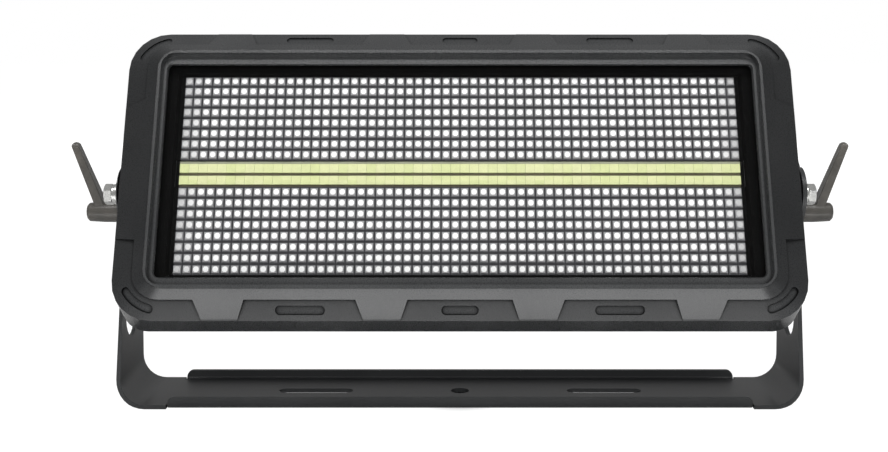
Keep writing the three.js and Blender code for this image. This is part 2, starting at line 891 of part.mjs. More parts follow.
// Heat sink: a plate with a trench for the white board, and upright ribs on both sides behind it
function makeHeatSink() {
  const flat = alongZ(roundedRectangle(sinkHalf.x, sinkHalf.y, sink.corner), sinkBack, sinkFront);
  const bed = { x: board.x + fit, y: whiteBoardHalf + fit };
  const trench = alongZ(rectangle(-bed.x, -bed.y, bed.x, bed.y), whiteBack - fit, sinkFront + overrun);
  const plate = cut(flat, trench);
  const half = sink.ribThickness / 2;
  const ribFrom = compartment.x + sink.ribMargin;
  const ribs = [];
  for (let rib = 0; rib < sink.ribs; rib += 1) {
    const x = ribFrom + ((sink.ribTo - ribFrom) * rib) / (sink.ribs - 1);
    const outline = rectangle(x - half, -sink.ribHalf, x + half, sink.ribHalf);
    const right = alongZ(outline, chamberRear + fit, sinkBack + bite);
    ribs.push(right, turnedAbout(right));
  }
  return fuse(plate, ...ribs);
}

// Rear housing
function makeSeal() {
  const outer = { ...flangeHalf, r: bezel.rimRearCorner - housing.flangeInset };
  const inner = {
    x: outer.x - housing.sealWidth,
    y: outer.y - housing.sealWidth,
    r: outer.r - housing.sealWidth,
  };
  return ringLoft([
    { ...outer, z: sealRear },
    { ...outer, z: sealFront },
    { ...inner, z: sealFront },
    { ...inner, z: sealRear },
  ]);
}

// Outline of the housing's wall at one depth, drawn in by an inset
function shellAt(z, inset) {
  const share = (flangeRear - z) / (flangeRear - housing.rear);
  return {
    x: shellFront.x - housing.draftX * share - inset,
    y: shellFront.y - housing.draftY * share - inset,
    r: housing.corner + (housing.rearCorner - housing.corner) * share - inset,
    z,
  };
}

function housingBody() {
  const flange = { ...flangeHalf, r: bezel.rimRearCorner - housing.flangeInset };
  return block([
    { ...shellAt(housing.rear, housing.rearEase) },
    shellAt(housing.rear + housing.rearEase, 0),
    shellAt(flangeRear, 0),
    { ...flange, z: flangeRear },
    { ...flange, z: flangeFront },
  ]);
}

// Room for the lamp, and the driver compartment that opens through the back
function housingRoom() {
  const room = { ...compartment, r: driver.corner };
  const opening = { ...mouth, r: driver.mouthCorner };
  const ledge = housing.rear + driver.lip;
  const chamber = block([
    shellAt(chamberRear, housing.wall),
    shellAt(flangeFront + overrun, housing.wall),
  ]);
  const middle = block([
    { ...opening, z: housing.rear - overrun },
    { ...opening, z: ledge },
    { ...room, z: ledge },
    { ...room, z: chamberRear + overrun },
  ]);
  return fuse(chamber, middle);
}

// Channels that leave upright fins on one side of the driver compartment
function finChannels() {
  const { channels, channelTo, finThickness } = housing;
  const channelFrom = compartment.x + housing.channelWall;
  const pitch = (channelTo - channelFrom + finThickness) / channels;
  const cutters = [];
  for (let channel = 0; channel < channels; channel += 1) {
    const left = channelFrom + channel * pitch;
    const outline = rectangle(left, -rim.y, left + pitch - finThickness, rim.y);
    cutters.push(alongZ(outline, housing.rear - overrun, housing.floor));
  }
  return fuse(...cutters);
}

// Pad on the housing's right side: bosses for the tilt bolt and the lock, joined by their web
function sidePad() {
  const rear = -tilt.lockRadius;
  const outline = new THREE.Shape();
  outline.absarc(0, 0, tilt.bossRadius, 0, halfTurn, false);
  outline.absarc(0, rear, tilt.lockBossRadius, halfTurn, fullTurn, false);
  const wallRear = shellRear.x - housing.wall;
  const from = wallRear + (shellFront.x - shellRear.x) / 2;
  const clear = (tilt.bolt + tilt.boltClear) / 2;
  return {
    pad: fuse(
      alongX(outline, from, bossEnd - tilt.seat + bite),
      rodX(tilt.seatRadius, bossEnd - tilt.seat, bossEnd),
      rodX(tilt.lockBossRadius, bossEnd - tilt.seat, armInner - fit, 0, rear),
    ),
    holes: fuse(
      rodX(clear, bossEnd - tilt.boltEngage - fit, armInner, 0, 0, steps.small),
      rodX(clear, bossEnd - tilt.boltEngage - fit, armInner + overrun, 0, rear, steps.small),
    ),
  };
}

function makeHousing() {
  const { pad, holes } = sidePad();
  const left = (solid) => solidOf(mirrored(geometryOf(solid)));
  const channels = finChannels();
  const screwHoles = screwPlaces().map(([x, y]) =>
    rodZ(screw.radius + screw.clear, flangeRear - overrun, flangeFront + overrun, x, y, steps.small),
  );
  const coverHoles = coverScrewPlaces().map(([x, y]) =>
    rodZ(driver.screwRadius + screw.clear, housing.rear - overrun, chamberRear, x, y, steps.small),
  );
  const eyeHole = rodZ(
    eye.stud + screw.clear,
    housing.rear - overrun,
    housing.rear + eye.studLength + fit,
    0,
    -eye.drop,
    steps.small,
  );
  const body = cut(housingBody(), housingRoom(), channels, turnedAbout(channels));
  return cut(
    fuse(body, pad, left(pad)),
    holes,
    left(holes),
    ...screwHoles,
    ...coverHoles,
    eyeHole,
  );
}

function makeFlangeScrew(x, y) {
  const headFront = flangeRear - fit;
  return fuse(
    rodZ(screw.headRadius, headFront - screw.headHeight, headFront, x, y, steps.small),
    rodZ(screw.radius, headFront - bite, flangeFront + screw.length - screw.clear, x, y, hexSides),
  );
}

// Rear cover with the openings for sockets, display, buttons and breather
function everyPlace(count, spacing) {
  return Array.from({ length: count }, (_, index) => (index - (count - 1) / 2) * spacing);
}

const buttonPlaces = everyPlace(buttonCount, panelRear.buttonSpacing);
const socketPlaces = everyPlace(socketCount, socket.spacing);

function coverScrewPlaces() {
  const x = coverHalf.x - driver.screwInset;
  const y = coverHalf.y - driver.screwInset;
  return [[-x, -y], [-x, y], [x, -y], [x, y]];
}

function postPlaces() {
  const x = panelRear.boardWidth / 2 - panelRear.postInset;
  const y = panelRear.boardHeight / 2 - panelRear.postInset;
  return [[-x, -y], [-x, y], [x, -y], [x, y]].map(([across, up]) => [across, up + panelRear.boardRise]);
}

function makeCover() {
  const { coverCorner, coverEase } = driver;
  const half = { ...coverHalf, r: coverCorner };
  const eased = { x: half.x - coverEase, y: half.y - coverEase, r: half.r - coverEase };
  const plate = block([
    { ...eased, z: coverRear },
    { ...half, z: coverRear + coverEase },
    { ...half, z: coverFront },
  ]);
  const through = [coverRear - overrun, coverFront + overrun];
  const socketHoles = socketPlaces.map((x) =>
    rodZ(socket.barrel + fit, ...through, x, socket.rise, steps.hub),
  );
  const buttonHoles = buttonPlaces.map((x) =>
    rodZ(panelRear.buttonRadius + fit, ...through, x, panelRear.buttonRise, steps.hub),
  );
  const screwHoles = coverScrewPlaces().map(([x, y]) =>
    rodZ(driver.screwRadius + screw.clear, ...through, x, y, steps.small),
  );
  const display = roundedRectangle(
    panelRear.displayWidth / 2,
    panelRear.displayHeight / 2,
    panelRear.buttonStem,
    0,
    panelRear.displayRise,
  );
  const ventHole = rodZ(vent.radius + fit, ...through, 0, vent.rise, steps.small);
  const posts = postPlaces().map(([x, y]) =>
    rodZ(panelRear.post, coverFront - bite, coverFront + panelRear.boardStand, x, y, steps.small),
  );
  const window = alongZ(display, ...through);
  return fuse(
    cut(plate, ...socketHoles, ...buttonHoles, ...screwHoles, window, ventHole),
    ...posts,
  );
}

function makeCoverSeal() {
  const { mouthCorner, sealInset, sealWidth } = driver;
  const grown = (by, z) => ({ x: mouth.x + by, y: mouth.y + by, r: mouthCorner + by, z });
  const rear = coverFront + fit;
  return ringLoft([
    grown(sealInset + sealWidth, rear),
    grown(sealInset + sealWidth, coverSealFront),
    grown(sealInset, coverSealFront),
    grown(sealInset, rear),
  ]);
}

function makeCoverScrew(x, y) {
  const { screwRadius, screwHead, screwHeadHeight, screwLength } = driver;
  const under = coverRear - fit;
  return fuse(
    rodZ(screwHead, under - screwHeadHeight, under, x, y, steps.small),
    rodZ(screwRadius, under - bite, housing.rear + screwLength, x, y, hexSides),
  );
}

function makeVentPlug() {
  const outer = coverRear - fit;
  return fuse(
    rodZ(vent.headRadius, outer - vent.head, outer, 0, vent.rise, hexSides),
    rodZ(vent.radius, outer - bite, coverFront, 0, vent.rise, steps.small),
  );
}

// Eye for a safety cable: a disc, a ring that stands on it and a stud into the housing
function makeSafetyEye() {
  const { drop, base, baseHeight, ring, wire, sink: depth, stud, studLength } = eye;
  const front = housing.rear - fit;
  const rear = front - baseHeight;
  const centre = rear - ring - wire + depth;
  const loop = new THREE.TorusGeometry(ring, wire, steps.wire, steps.ring);
  return fuse(
    rodZ(base, rear, front, 0, -drop, steps.ring),
    rodZ(stud, front - bite, housing.rear + studLength, 0, -drop, steps.small),
    solidOf(loop.rotateX(quarterTurn).translate(0, -drop, centre)),
  );
}

// Display, control board and buttons
function makeDisplayPane() {
  const shape = roundedRectangle(
    panelRear.displayWidth / 2 - fit,
    panelRear.displayHeight / 2 - fit,
    panelRear.buttonStem - fit,
    0,
    panelRear.displayRise,
  );
  const rear = coverRear + panelRear.paneSink;
  return alongZ(shape, rear, rear + panelRear.paneThickness, steps.coarse);
}

function makeDisplayModule() {
  const shape = roundedRectangle(
    panelRear.displayWidth / 2 - panelRear.moduleMargin,
    panelRear.displayHeight / 2 - panelRear.moduleMargin,
    panelRear.buttonStem,
    0,
    panelRear.displayRise,
  );
  const front = coverFront + panelRear.boardStand;
  return alongZ(shape, front - panelRear.moduleDepth, front, steps.coarse);
}

function makeControlBoard() {
  const shape = roundedRectangle(
    panelRear.boardWidth / 2,
    panelRear.boardHeight / 2,
    panelRear.post,
    0,
    panelRear.boardRise,
  );
  const rear = coverFront + panelRear.boardStand + fit;
  return alongZ(shape, rear, rear + panelRear.boardThickness, steps.coarse);
}

function makeButton(x) {
  const y = panelRear.buttonRise;
  const flangeRear = coverFront + fit;
  const flangeFront = flangeRear + panelRear.buttonFlangeDepth;
  const stemEnd = coverFront + panelRear.boardStand - panelRear.buttonTravel;
  const { buttonRadius, buttonFlange, buttonProud, buttonStem } = panelRear;
  return fuse(
    rodZ(buttonRadius, coverRear - buttonProud, flangeRear + bite, x, y, steps.hub),
    rodZ(buttonRadius + buttonFlange, flangeRear, flangeFront, x, y, steps.hub),
    rodZ(buttonStem, flangeFront - bite, stemEnd, x, y, steps.small),
  );
}

// Chassis sockets: a flange with a barrel and a collar, open to the back
function socketBody(x) {
  const y = socket.rise;
  const flangeFront = coverRear - fit;
  const flangeBack = flangeFront - socket.flange;
  const flange = roundedRectangle(socket.width / 2, socket.height / 2, socket.corner, x, y);
  const face = flangeBack - socket.collar;
  const body = fuse(
    alongZ(flange, flangeBack, flangeFront, steps.coarse),
    rodZ(socket.barrel, face, flangeBack + socket.barrelDepth, x, y, steps.hub),
  );
  return { body, face };
}

function makeOpenSocket(x, withKey) {
  const y = socket.rise;
  const { body, face } = socketBody(x);
  const floor = face + socket.mouthDepth;
  const mouth = rodZ(socket.mouth, face - overrun, floor, x, y, steps.hub);
  const pins = [];
  for (let pin = 0; pin < socket.pins; pin += 1) {
    const angle = (pin / socket.pins) * fullTurn + quarterTurn;
    const pinX = x + socket.pinCircle * Math.cos(angle);
    const pinY = y + socket.pinCircle * Math.sin(angle);
    pins.push(rodZ(socket.pin, floor - socket.pinLength, floor + bite, pinX, pinY, hexSides));
  }
  const half = socket.keyWidth / 2;
  const key = alongZ(
    rectangle(x - half, y - socket.mouth - bite, x + half, y - socket.mouth + socket.keyHeight),
    face,
    floor + bite,
  );
  const hollow = cut(body, mouth);
  return withKey ? fuse(hollow, key, ...pins) : fuse(hollow, ...pins);
}

function makeFilledSocket(x) {
  const y = socket.rise;
  const { body, face } = socketBody(x);
  const floor = face + socket.grooveDepth;
  const groove = cut(
    rodZ(socket.mouth, face - overrun, floor, x, y, steps.hub),
    rodZ(socket.insert, face - fit, floor + overrun, x, y, steps.hub),
  );
  const holes = [];
  for (let pin = 0; pin < socket.pins; pin += 1) {
    const angle = (pin / socket.pins) * fullTurn - quarterTurn;
    const holeX = x + socket.pinCircle * Math.cos(angle);
    const holeY = y + socket.pinCircle * Math.sin(angle);
    const bottom = face + socket.pinLength;
    holes.push(rodZ(socket.pin, face - overrun, bottom, holeX, holeY, hexSides));
  }
  return cut(body, groove, ...holes);
}

function makeSupply() {
  const front = sinkBack - fit;
  const outline = roundedRectangle(supply.width / 2, supply.height / 2, panelRear.post);
  return alongZ(outline, front - supply.depth, front, steps.coarse);
}

// Fasteners on the tilt axis, right side
function washerAt(radius, hole, from, to, y = 0, z = 0) {
  return cut(
    rodX(radius, from, to, y, z),
    rodX(hole, from - overrun, to + overrun, y, z, steps.small),
  );
}

const clearHole = (tilt.bolt + tilt.boltClear) / 2;
const washerFrom = armOuter + fit;
const springFrom = washerFrom + washer.thickness + fit;
const headFrom = springFrom + springWasher.thickness + fit;

function makeSpringWasher() {
  const ring = washerAt(springWasher.radius, clearHole, springFrom, springFrom + springWasher.thickness);
  const half = springWasher.split / 2;
  const gap = alongX(
    rectangle(0, -half, springWasher.radius + overrun, half),
    springFrom - overrun,
    springFrom + springWasher.thickness + overrun,
  );
  return cut(ring, gap);
}

function makePivotBolt() {
  const corner = hexHead.acrossFlats / 2 / Math.cos(30 * degrees);
  const to = headFrom + hexHead.height;
  const crown = turned(
    [
      [0, headFrom - overrun],
      [corner + overrun, headFrom - overrun],
      [corner + overrun, to - hexHead.ease - overrun / 2],
      [hexHead.acrossFlats / 2, to],
      [0, to],
    ],
    steps.round,
  );
  const hexagon = rodX(corner, headFrom, to, 0, 0, hexSides);
  const shank = rodX(tilt.bolt / 2, bossEnd - tilt.boltEngage, headFrom + bite, 0, 0, steps.small);
  return fuse(hexagon.intersect(crown), shank);
}

// Clamping lever, right side, drawn about its own stud with Z up
const hubFrom = washerFrom + washer.thickness + fit;

function makeLever() {
  const { hubLength, hubRadius, hubEndRadius, hubDome, hubStraight } = lever;
  const end = hubFrom + hubLength;
  const hub = turned(
    [
      [0, hubFrom],
      [hubRadius, hubFrom],
      [hubRadius, hubFrom + hubStraight],
      [hubEndRadius, end - hubDome],
      [hubEndRadius - hubDome, end],
      [0, end],
    ],
    steps.round,
  );
  const root = hubFrom + lever.armRoot;
  const wide = lever.armRootWidth / 2;
  const thin = lever.armTipWidth / 2;
  const top = lever.armRise;
  const leanAt = root + lever.armLean;
  const bladeView = new THREE.Shape();
  bladeView.moveTo(root - wide, 0);
  bladeView.lineTo(root + wide, 0);
  bladeView.absarc(leanAt, top - thin, thin, 0, halfTurn, false);
  const broad = lever.armBlade / 2;
  const slim = lever.armTipBlade / 2;
  const sideView = new THREE.Shape();
  sideView.moveTo(-broad, 0);
  sideView.lineTo(broad, 0);
  sideView.absarc(0, top - slim, slim, 0, halfTurn, false);
  const blade = alongY(bladeView, -broad, broad);
  const arm = blade.intersect(alongX(sideView, root - 2 * wide, leanAt + 2 * wide));
  const bore = rodX(clearHole, hubFrom - overrun, hubFrom + lever.bore, 0, 0, steps.small);
  return cut(fuse(hub, arm), bore);
}

function makeStud() {
  return rodX(
    tilt.bolt / 2,
    bossEnd - tilt.boltEngage,
    hubFrom + lever.bore - fit,
    0,
    0,
    steps.small,
  );
}

// Assembly
function addHeadPieces(head) {
  addPiece(head, "front_bezel", makeBezel(), materials.casting);
  addPiece(head, "glass_gasket", makeGlassGasket(), materials.rubber);
  addPiece(head, "front_glass", makeGlass(), materials.glass);
  addPiece(head, "lamp_mask", makeMask(), materials.blackPlastic);
  addPiece(head, "led_board_upper", makeColourBoard(1), materials.circuit);
  addPiece(head, "led_board_lower", makeColourBoard(-1), materials.circuit);
  addPiece(head, "led_board_white", makeWhiteBoard(), materials.whiteEmitter);
  addPiece(head, "heat_sink", makeHeatSink(), materials.aluminium);
  addPiece(head, "bezel_seal", makeSeal(), materials.rubber);
  addPiece(head, "rear_housing", makeHousing(), materials.casting);
  addPiece(head, "rear_cover", makeCover(), materials.casting);
  addPiece(head, "cover_seal", makeCoverSeal(), materials.rubber);
  addPiece(head, "power_supply", makeSupply(), materials.supplyCase);
  addPiece(head, "vent_plug", makeVentPlug(), materials.blackPlastic);
  addPiece(head, "safety_eye", makeSafetyEye(), materials.steel);
}

function addControls(head) {
  addPiece(head, "display_pane", makeDisplayPane(), materials.display);
  addPiece(head, "display_module", makeDisplayModule(), materials.blackPlastic);
  addPiece(head, "control_board", makeControlBoard(), materials.circuit);
  buttonPlaces.forEach((x, index) => {
    addPiece(head, `menu_button_${index + 1}`, makeButton(x), materials.rubber);
  });
}

function addSockets(head) {
  const [powerIn, powerOut, dataIn, dataOut] = socketPlaces;
  addPiece(head, "power_inlet", makeOpenSocket(powerIn, true), materials.blackPlastic);
  addPiece(head, "power_outlet", makeOpenSocket(powerOut, true), materials.blackPlastic);
  addPiece(head, "data_inlet", makeOpenSocket(dataIn, false), materials.blackPlastic);
  addPiece(head, "data_outlet", makeFilledSocket(dataOut), materials.blackPlastic);
}

function addTiltFasteners(head) {
  const friction = washerAt(tilt.seatRadius, clearHole, frictionInner, armInner - fit);
  addPair(head, "friction_washer", friction, materials.rubber);
  const flat = washerAt(washer.radius, clearHole, washerFrom, washerFrom + washer.thickness);
  addPair(head, "pivot_washer", flat, materials.steel);
  addPair(head, "spring_washer", makeSpringWasher(), materials.steel);
  addPair(head, "pivot_bolt", makePivotBolt(), materials.steel);
}

function addLock(head) {
  const lock = new THREE.Group();
  lock.position.z = -tilt.lockRadius;
  lock.rotation.x = -head.rotation.x;
  const flat = washerAt(washer.radius, clearHole, washerFrom, washerFrom + washer.thickness);
  addPair(lock, "lock_washer", flat, materials.steel);
  addPair(lock, "lock_stud", makeStud(), materials.steel);
  addPair(lock, "lock_lever", makeLever(), materials.blackPlastic);
  head.add(lock);
}

function addScrews(head) {
  screwPlaces().forEach(([x, y], index) => {
    addPiece(head, `flange_screw_${index + 1}`, makeFlangeScrew(x, y), materials.steel);
  });
  coverScrewPlaces().forEach(([x, y], index) => {
    addPiece(head, `cover_screw_${index + 1}`, makeCoverScrew(x, y), materials.steel);
  });
}

function makeStrobe() {
  const strobe = new THREE.Group();
  addPiece(strobe, "yoke_frame", makeYoke(), materials.plate);
  const head = new THREE.Group();
  head.position.z = tilt.height;
  head.rotation.x = quarterTurn - tilt.rest;
  addHeadPieces(head);
  addControls(head);
  addSockets(head);
  addTiltFasteners(head);
  addLock(head);
  addScrews(head);
  strobe.add(head);
  return strobe;
}

export default makeStrobe();
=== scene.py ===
"""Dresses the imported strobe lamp: emitters, fasteners, finishes, studio and camera.

The lamp's own pieces are in millimetres and in the head's frame: x to the right, v up the face
and e out of it, with the tilt axis at the origin. Finishes, edges and the studio are in metres.
"""

from __future__ import annotations

import itertools
import json
import logging
import math
from dataclasses import dataclass, field
from enum import Enum, IntEnum
from typing import Any, Iterable, Sequence

import bpy
from mathutils import Matrix, Vector

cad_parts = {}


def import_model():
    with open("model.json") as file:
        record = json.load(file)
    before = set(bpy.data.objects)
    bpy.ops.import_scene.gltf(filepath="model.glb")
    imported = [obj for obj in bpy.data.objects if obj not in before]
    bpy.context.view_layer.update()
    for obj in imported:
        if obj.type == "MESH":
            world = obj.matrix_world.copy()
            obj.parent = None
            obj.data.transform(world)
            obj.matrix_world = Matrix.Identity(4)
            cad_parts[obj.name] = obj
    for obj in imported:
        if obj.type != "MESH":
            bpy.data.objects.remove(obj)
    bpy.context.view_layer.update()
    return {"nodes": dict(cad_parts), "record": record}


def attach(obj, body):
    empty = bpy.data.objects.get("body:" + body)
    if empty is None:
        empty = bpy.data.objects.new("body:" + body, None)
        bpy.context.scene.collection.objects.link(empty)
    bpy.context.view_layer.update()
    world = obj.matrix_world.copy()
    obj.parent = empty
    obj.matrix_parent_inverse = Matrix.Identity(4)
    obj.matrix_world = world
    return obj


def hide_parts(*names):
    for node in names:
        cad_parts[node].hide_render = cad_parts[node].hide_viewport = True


LOG = logging.getLogger("strobe")

Colour = tuple[float, float, float]
Point = tuple[float, float, float]
Face = tuple[int, ...]
Span = tuple[float, float]
Band = tuple[float, float, float, float]
Socket = bpy.types.NodeSocket
Inputs = dict[str | int, Any]

MM = 0.001
# How far the head leans back at rest, and the height of its tilt axis in metres.
TILT = math.radians(27.0)
TILT_HEIGHT = 0.145
# Distance between the emitters' columns in millimetres.
COLUMN_PITCH = 6.25

WHITE: Colour = (1.0, 1.0, 1.0)
EVEN: Point = (1.0, 1.0, 1.0)
# Nearly all of a noise's factor lies between these two.
NOISE_SPAN: Span = (0.3, 0.7)
# Finer layers that a noise has on top of its first one.
FEW_LAYERS = 2.0
SOME_LAYERS = 3.0
MANY_LAYERS = 4.0


class Side(Enum):
    """The lamp's left and right, seen from the front."""

    LEFT = -1
    RIGHT = 1


class Half(Enum):
    """What lies below and above the middle of the face."""

    LOWER = -1
    UPPER = 1


class Drive(Enum):
    """Number of sides of the recess in a screw's head."""

    HEX = 6


class MixSocket(IntEnum):
    """Places of a mix node's sockets for colours, because several of its sockets share a name."""

    SHARE = 0
    FIRST = 6
    SECOND = 7
    RESULT = 2


class BoardPart(IntEnum):
    """Parts of a colour board, in the order of its finishes."""

    GROUND = 0
    TILE = 1
    CASE = 2
    WINDOW = 3
    SHADED_WINDOW = 4
    DEEP_SHADED_WINDOW = 5
    BLACK_END = 6


class StripPart(IntEnum):
    """Parts of the white board, in the order of its finishes."""

    GROUND = 0
    PHOSPHOR = 1
    DAM = 2
    BLACK_END = 3


def grey(value: float) -> Colour:
    """Gives a neutral colour."""
    return (value, value, value)


def head_frame() -> Matrix:
    """Gives the matrix from the head's frame in millimetres to the lamp's frame in metres.

    Returns:
        The matrix at rest.
    """
    sine, cosine = math.sin(TILT), math.cos(TILT)
    rows = (
        (MM, 0.0, 0.0, 0.0),
        (0.0, sine * MM, -cosine * MM, 0.0),
        (0.0, cosine * MM, sine * MM, TILT_HEIGHT),
        (0.0, 0.0, 0.0, 1.0),
    )
    return Matrix(rows)


class NodeSheet:
    """The node tree of a material or of the world, and the calls that fill it."""

    def __init__(self, name: str, world: bool = False) -> None:
        """Starts an empty tree with an output.

        Args:
            name: Name of the material or world.
            world: Whether the tree is a world's.
        """
        library = bpy.data.worlds if world else bpy.data.materials
        self.block = library.new(name)
        self.block.use_nodes = True
        self.tree = self.block.node_tree
        self.tree.nodes.clear()
        self.output = self.add("ShaderNodeOutputWorld" if world else "ShaderNodeOutputMaterial")
        self.coordinates = self.add("ShaderNodeTexCoord")

    def add(self, kind: str, inputs: Inputs | None = None, **settings: Any) -> bpy.types.Node:
        """Adds a node.

        Args:
            kind: The node's type in Blender.
            inputs: A socket to link or a plain value for each of its inputs.
            settings: Attributes of the node itself.

        Returns:
            The new node.
        """
        node = self.tree.nodes.new(kind)
        for name, value in settings.items():
            setattr(node, name, value)
        for name, value in (inputs or {}).items():
            if isinstance(value, Socket):
                self.tree.links.new(value, node.inputs[name])
            else:
                node.inputs[name].default_value = value
        return node

    def close(self, shader: Socket) -> bpy.types.ID:
        """Joins a shader to the output.

        Args:
            shader: The finished shader.

        Returns:
            The material or world.
        """
        self.tree.links.new(shader, self.output.inputs["Surface"])
        return self.block

    def axes(self, coordinates: str) -> Any:
        """Splits a set of texture coordinates into its sockets X, Y and Z."""
        return self.add("ShaderNodeSeparateXYZ", {0: self.coordinates.outputs[coordinates]}).outputs

    def noise(self, size: float, detail: float, stretch: Point = EVEN) -> Socket:
        """Adds noise whose features are about one size across.

        Args:
            size: Size of the features in metres.
            detail: How many finer layers the noise has.
            stretch: Scale along each axis.

        Returns:
            The noise's factor.
        """
        place = {"Vector": self.coordinates.outputs["Object"], "Scale": stretch}
        mapped = self.add("ShaderNodeMapping", place).outputs["Vector"]
        grains = {"Vector": mapped, "Scale": 1.0 / size, "Detail": detail}
        return self.add("ShaderNodeTexNoise", grains).outputs["Fac"]

    def curve(self, factor: Socket, stops: Sequence[tuple[float, Colour]]) -> Socket:
        """Reads a colour off a curve of straight parts.

        Args:
            factor: What the colour follows.
            stops: The curve's corners: place on the factor and colour there.

        Returns:
            The colour's socket.
        """
        node = self.add("ShaderNodeValToRGB", {"Fac": factor})
        corners = node.color_ramp.elements
        for place, _ in stops[len(corners):]:
            corners.new(place)
        for corner, (place, colour) in zip(corners, stops):
            corner.position = place
            corner.color = (*colour, 1.0)
        return node.outputs["Color"]

    def ramp(self, factor: Socket, low: Colour, high: Colour, span: Span = NOISE_SPAN) -> Socket:
        """Spreads a factor between two colours.

        Args:
            factor: What the ramp follows.
            low: Colour at the low end.
            high: Colour at the high end.
            span: Where the two ends lie on the factor.

        Returns:
            The colour's socket.
        """
        return self.curve(factor, list(zip(span, (low, high))))

    def tones(self, factor: Socket, places: Sequence[float], greys: Sequence[float]) -> Socket:
        """Reads a tone off a curve of straight parts.

        Args:
            factor: What the tone follows.
            places: The curve's corners on the factor.
            greys: The tone at each of them.

        Returns:
            The tone's socket.
        """
        return self.curve(factor, [(place, grey(tone)) for place, tone in zip(places, greys)])

    def dip(self, factor: Socket, band: Band, tone: float) -> Socket:
        """Falls from 1 to a tone, keeps it and rises to 1 again.

        Args:
            factor: What the tone follows.
            band: Where the fall begins and ends, and where the rise begins and ends.
            tone: The tone between fall and rise.

        Returns:
            The tone's socket.
        """
        return self.tones(factor, band, (1.0, tone, tone, 1.0))

    def spread(
        self, factor: Socket, low: Socket | float, high: float, span: Span = NOISE_SPAN
    ) -> Socket:
        """Spreads a factor between two numbers.

        Args:
            factor: What the result follows.
            low: Result at the low end.
            high: Result at the high end.
            span: Where the two ends lie on the factor.

        Returns:
            The number's socket.
        """
        start, end = span
        ends = {"Value": factor, "From Min": start, "From Max": end, "To Min": low, "To Max": high}
        return self.add("ShaderNodeMapRange", ends).outputs["Result"]

    def combine(self, operation: str, *numbers: Socket | float) -> Socket:
        """Combines numbers.

        Args:
            operation: The math node's operation.
            numbers: Its numbers in order, each a socket or a plain value.

        Returns:
            The result's socket.
        """
        inputs = dict(enumerate(numbers))
        return self.add("ShaderNodeMath", inputs, operation=operation).outputs[0]

    def scale(self, colour: Socket, tone: Socket) -> Socket:
        """Darkens a colour by a tone."""
        inputs = {0: colour, "Scale": tone}
        return self.add("ShaderNodeVectorMath", inputs, operation="SCALE").outputs["Vector"]

    def bump(self, height: Socket, depth: float) -> Socket:
        """Turns a height into a normal, with bumps of a depth in metres."""
        return self.add("ShaderNodeBump", {"Height": height, "Distance": depth}).outputs["Normal"]

    def principled(self, inputs: Inputs) -> Socket:
        """Adds the general shader and gives its socket."""
        return self.add("ShaderNodeBsdfPrincipled", inputs).outputs["BSDF"]

    def white_light(self, kind: str, strength: float) -> Socket:
        """Adds a shader that gives white light, of a kind with a colour and a strength."""
        return self.add(kind, {"Color": (*WHITE, 1.0), "Strength": strength}).outputs[0]

    def blend(self, share: Socket, first: Socket, second: Socket) -> Socket:
        """Mixes two shaders, with the second one's share."""
        return self.add("ShaderNodeMixShader", {"Fac": share, 1: first, 2: second}).outputs[0]

    def seen(self) -> Socket:
        """Gives 1 to rays from the eye, also through glass, and 0 to all others."""
        rays = self.add("ShaderNodeLightPath").outputs
        return self.combine("MAXIMUM", rays["Is Camera Ray"], rays["Is Transmission Ray"])


@dataclass(frozen=True)
class CastShade:
    """Painted shade on a casting: darker crevices, side slopes and upright panels.

    Each tone is a share of the open paint's colour and gloss. A face's slope is a component of
    its normal, from -1 to 1.

    Attributes:
        reach: How far from an inner corner the crevices' shade reaches, in metres.
        samples: Rays that feel for inner corners.
        openness: How open a spot is where that shade is full and where it ends.
        heights: A low and a high place on the casting, in metres.
        crevice_shades: Tone of the painted shade in the deepest crevices at these heights.
        side_band: Slopes to the side between which the side's painted shade comes and goes.
        side_shade: Tone of the painted shade on the faces that slope to the left or right.
        panel_stretch: Factor and offset that bring the panels' upward slopes between 0 and 1.
        panel_band: Stretched upward slopes between which the panels' painted shade comes and goes.
        panel_shade: Tone of the painted shade on the upright panels.
        panel_sides: Slopes to the side at which a face is wholly a panel and isn't one any more.
    """

    reach: float = 0.003
    samples: int = 10
    openness: Span = (0.62, 0.96)
    heights: Span = (0.10, 0.22)
    crevice_shades: Span = (0.22, 0.70)
    side_band: Band = (0.12, 0.40, 0.62, 0.92)
    side_shade: float = 0.56
    panel_stretch: Span = (2.5, 0.5)
    panel_band: Band = (0.22, 0.40, 0.60, 0.78)
    panel_shade: float = 0.66
    panel_sides: Span = (0.1, 0.3)

    def crevices(self, sheet: NodeSheet) -> Socket:
        """Gives the painted shade of inner corners and grooves, from ambient occlusion.

        Args:
            sheet: The paint's nodes.

        Returns:
            The tone's socket.
        """
        # Painted shade: the crevices are painted darker low on the casting than high on it.
        deepest = sheet.spread(sheet.axes("Object")["Z"], *self.crevice_shades, self.heights)
        hollow = sheet.add(
            "ShaderNodeAmbientOcclusion", {"Distance": self.reach}, samples=self.samples
        )
        return sheet.spread(hollow.outputs["AO"], deepest, 1.0, self.openness)

    def tone(self, sheet: NodeSheet) -> Socket:
        """Gives the whole painted shade: crevices, side slopes and upright panels together.

        Args:
            sheet: The paint's nodes.

        Returns:
            The tone's socket.
        """
        # Painted shade on faces that slope to the side and on upright panels, read off the normal.
        slope = sheet.axes("Normal")
        aside = sheet.combine("ABSOLUTE", slope["X"])
        sides = sheet.dip(aside, self.side_band, self.side_shade)
        upward = sheet.combine("MULTIPLY_ADD", slope["Z"], *self.panel_stretch)
        panels = sheet.dip(upward, self.panel_band, self.panel_shade)
        no_panel = sheet.tones(aside, self.panel_sides, (0.0, 1.0))
        panels = sheet.combine("MAXIMUM", panels, no_panel)
        tone = sheet.combine("MULTIPLY", self.crevices(sheet), sides)
        return sheet.combine("MULTIPLY", tone, panels)


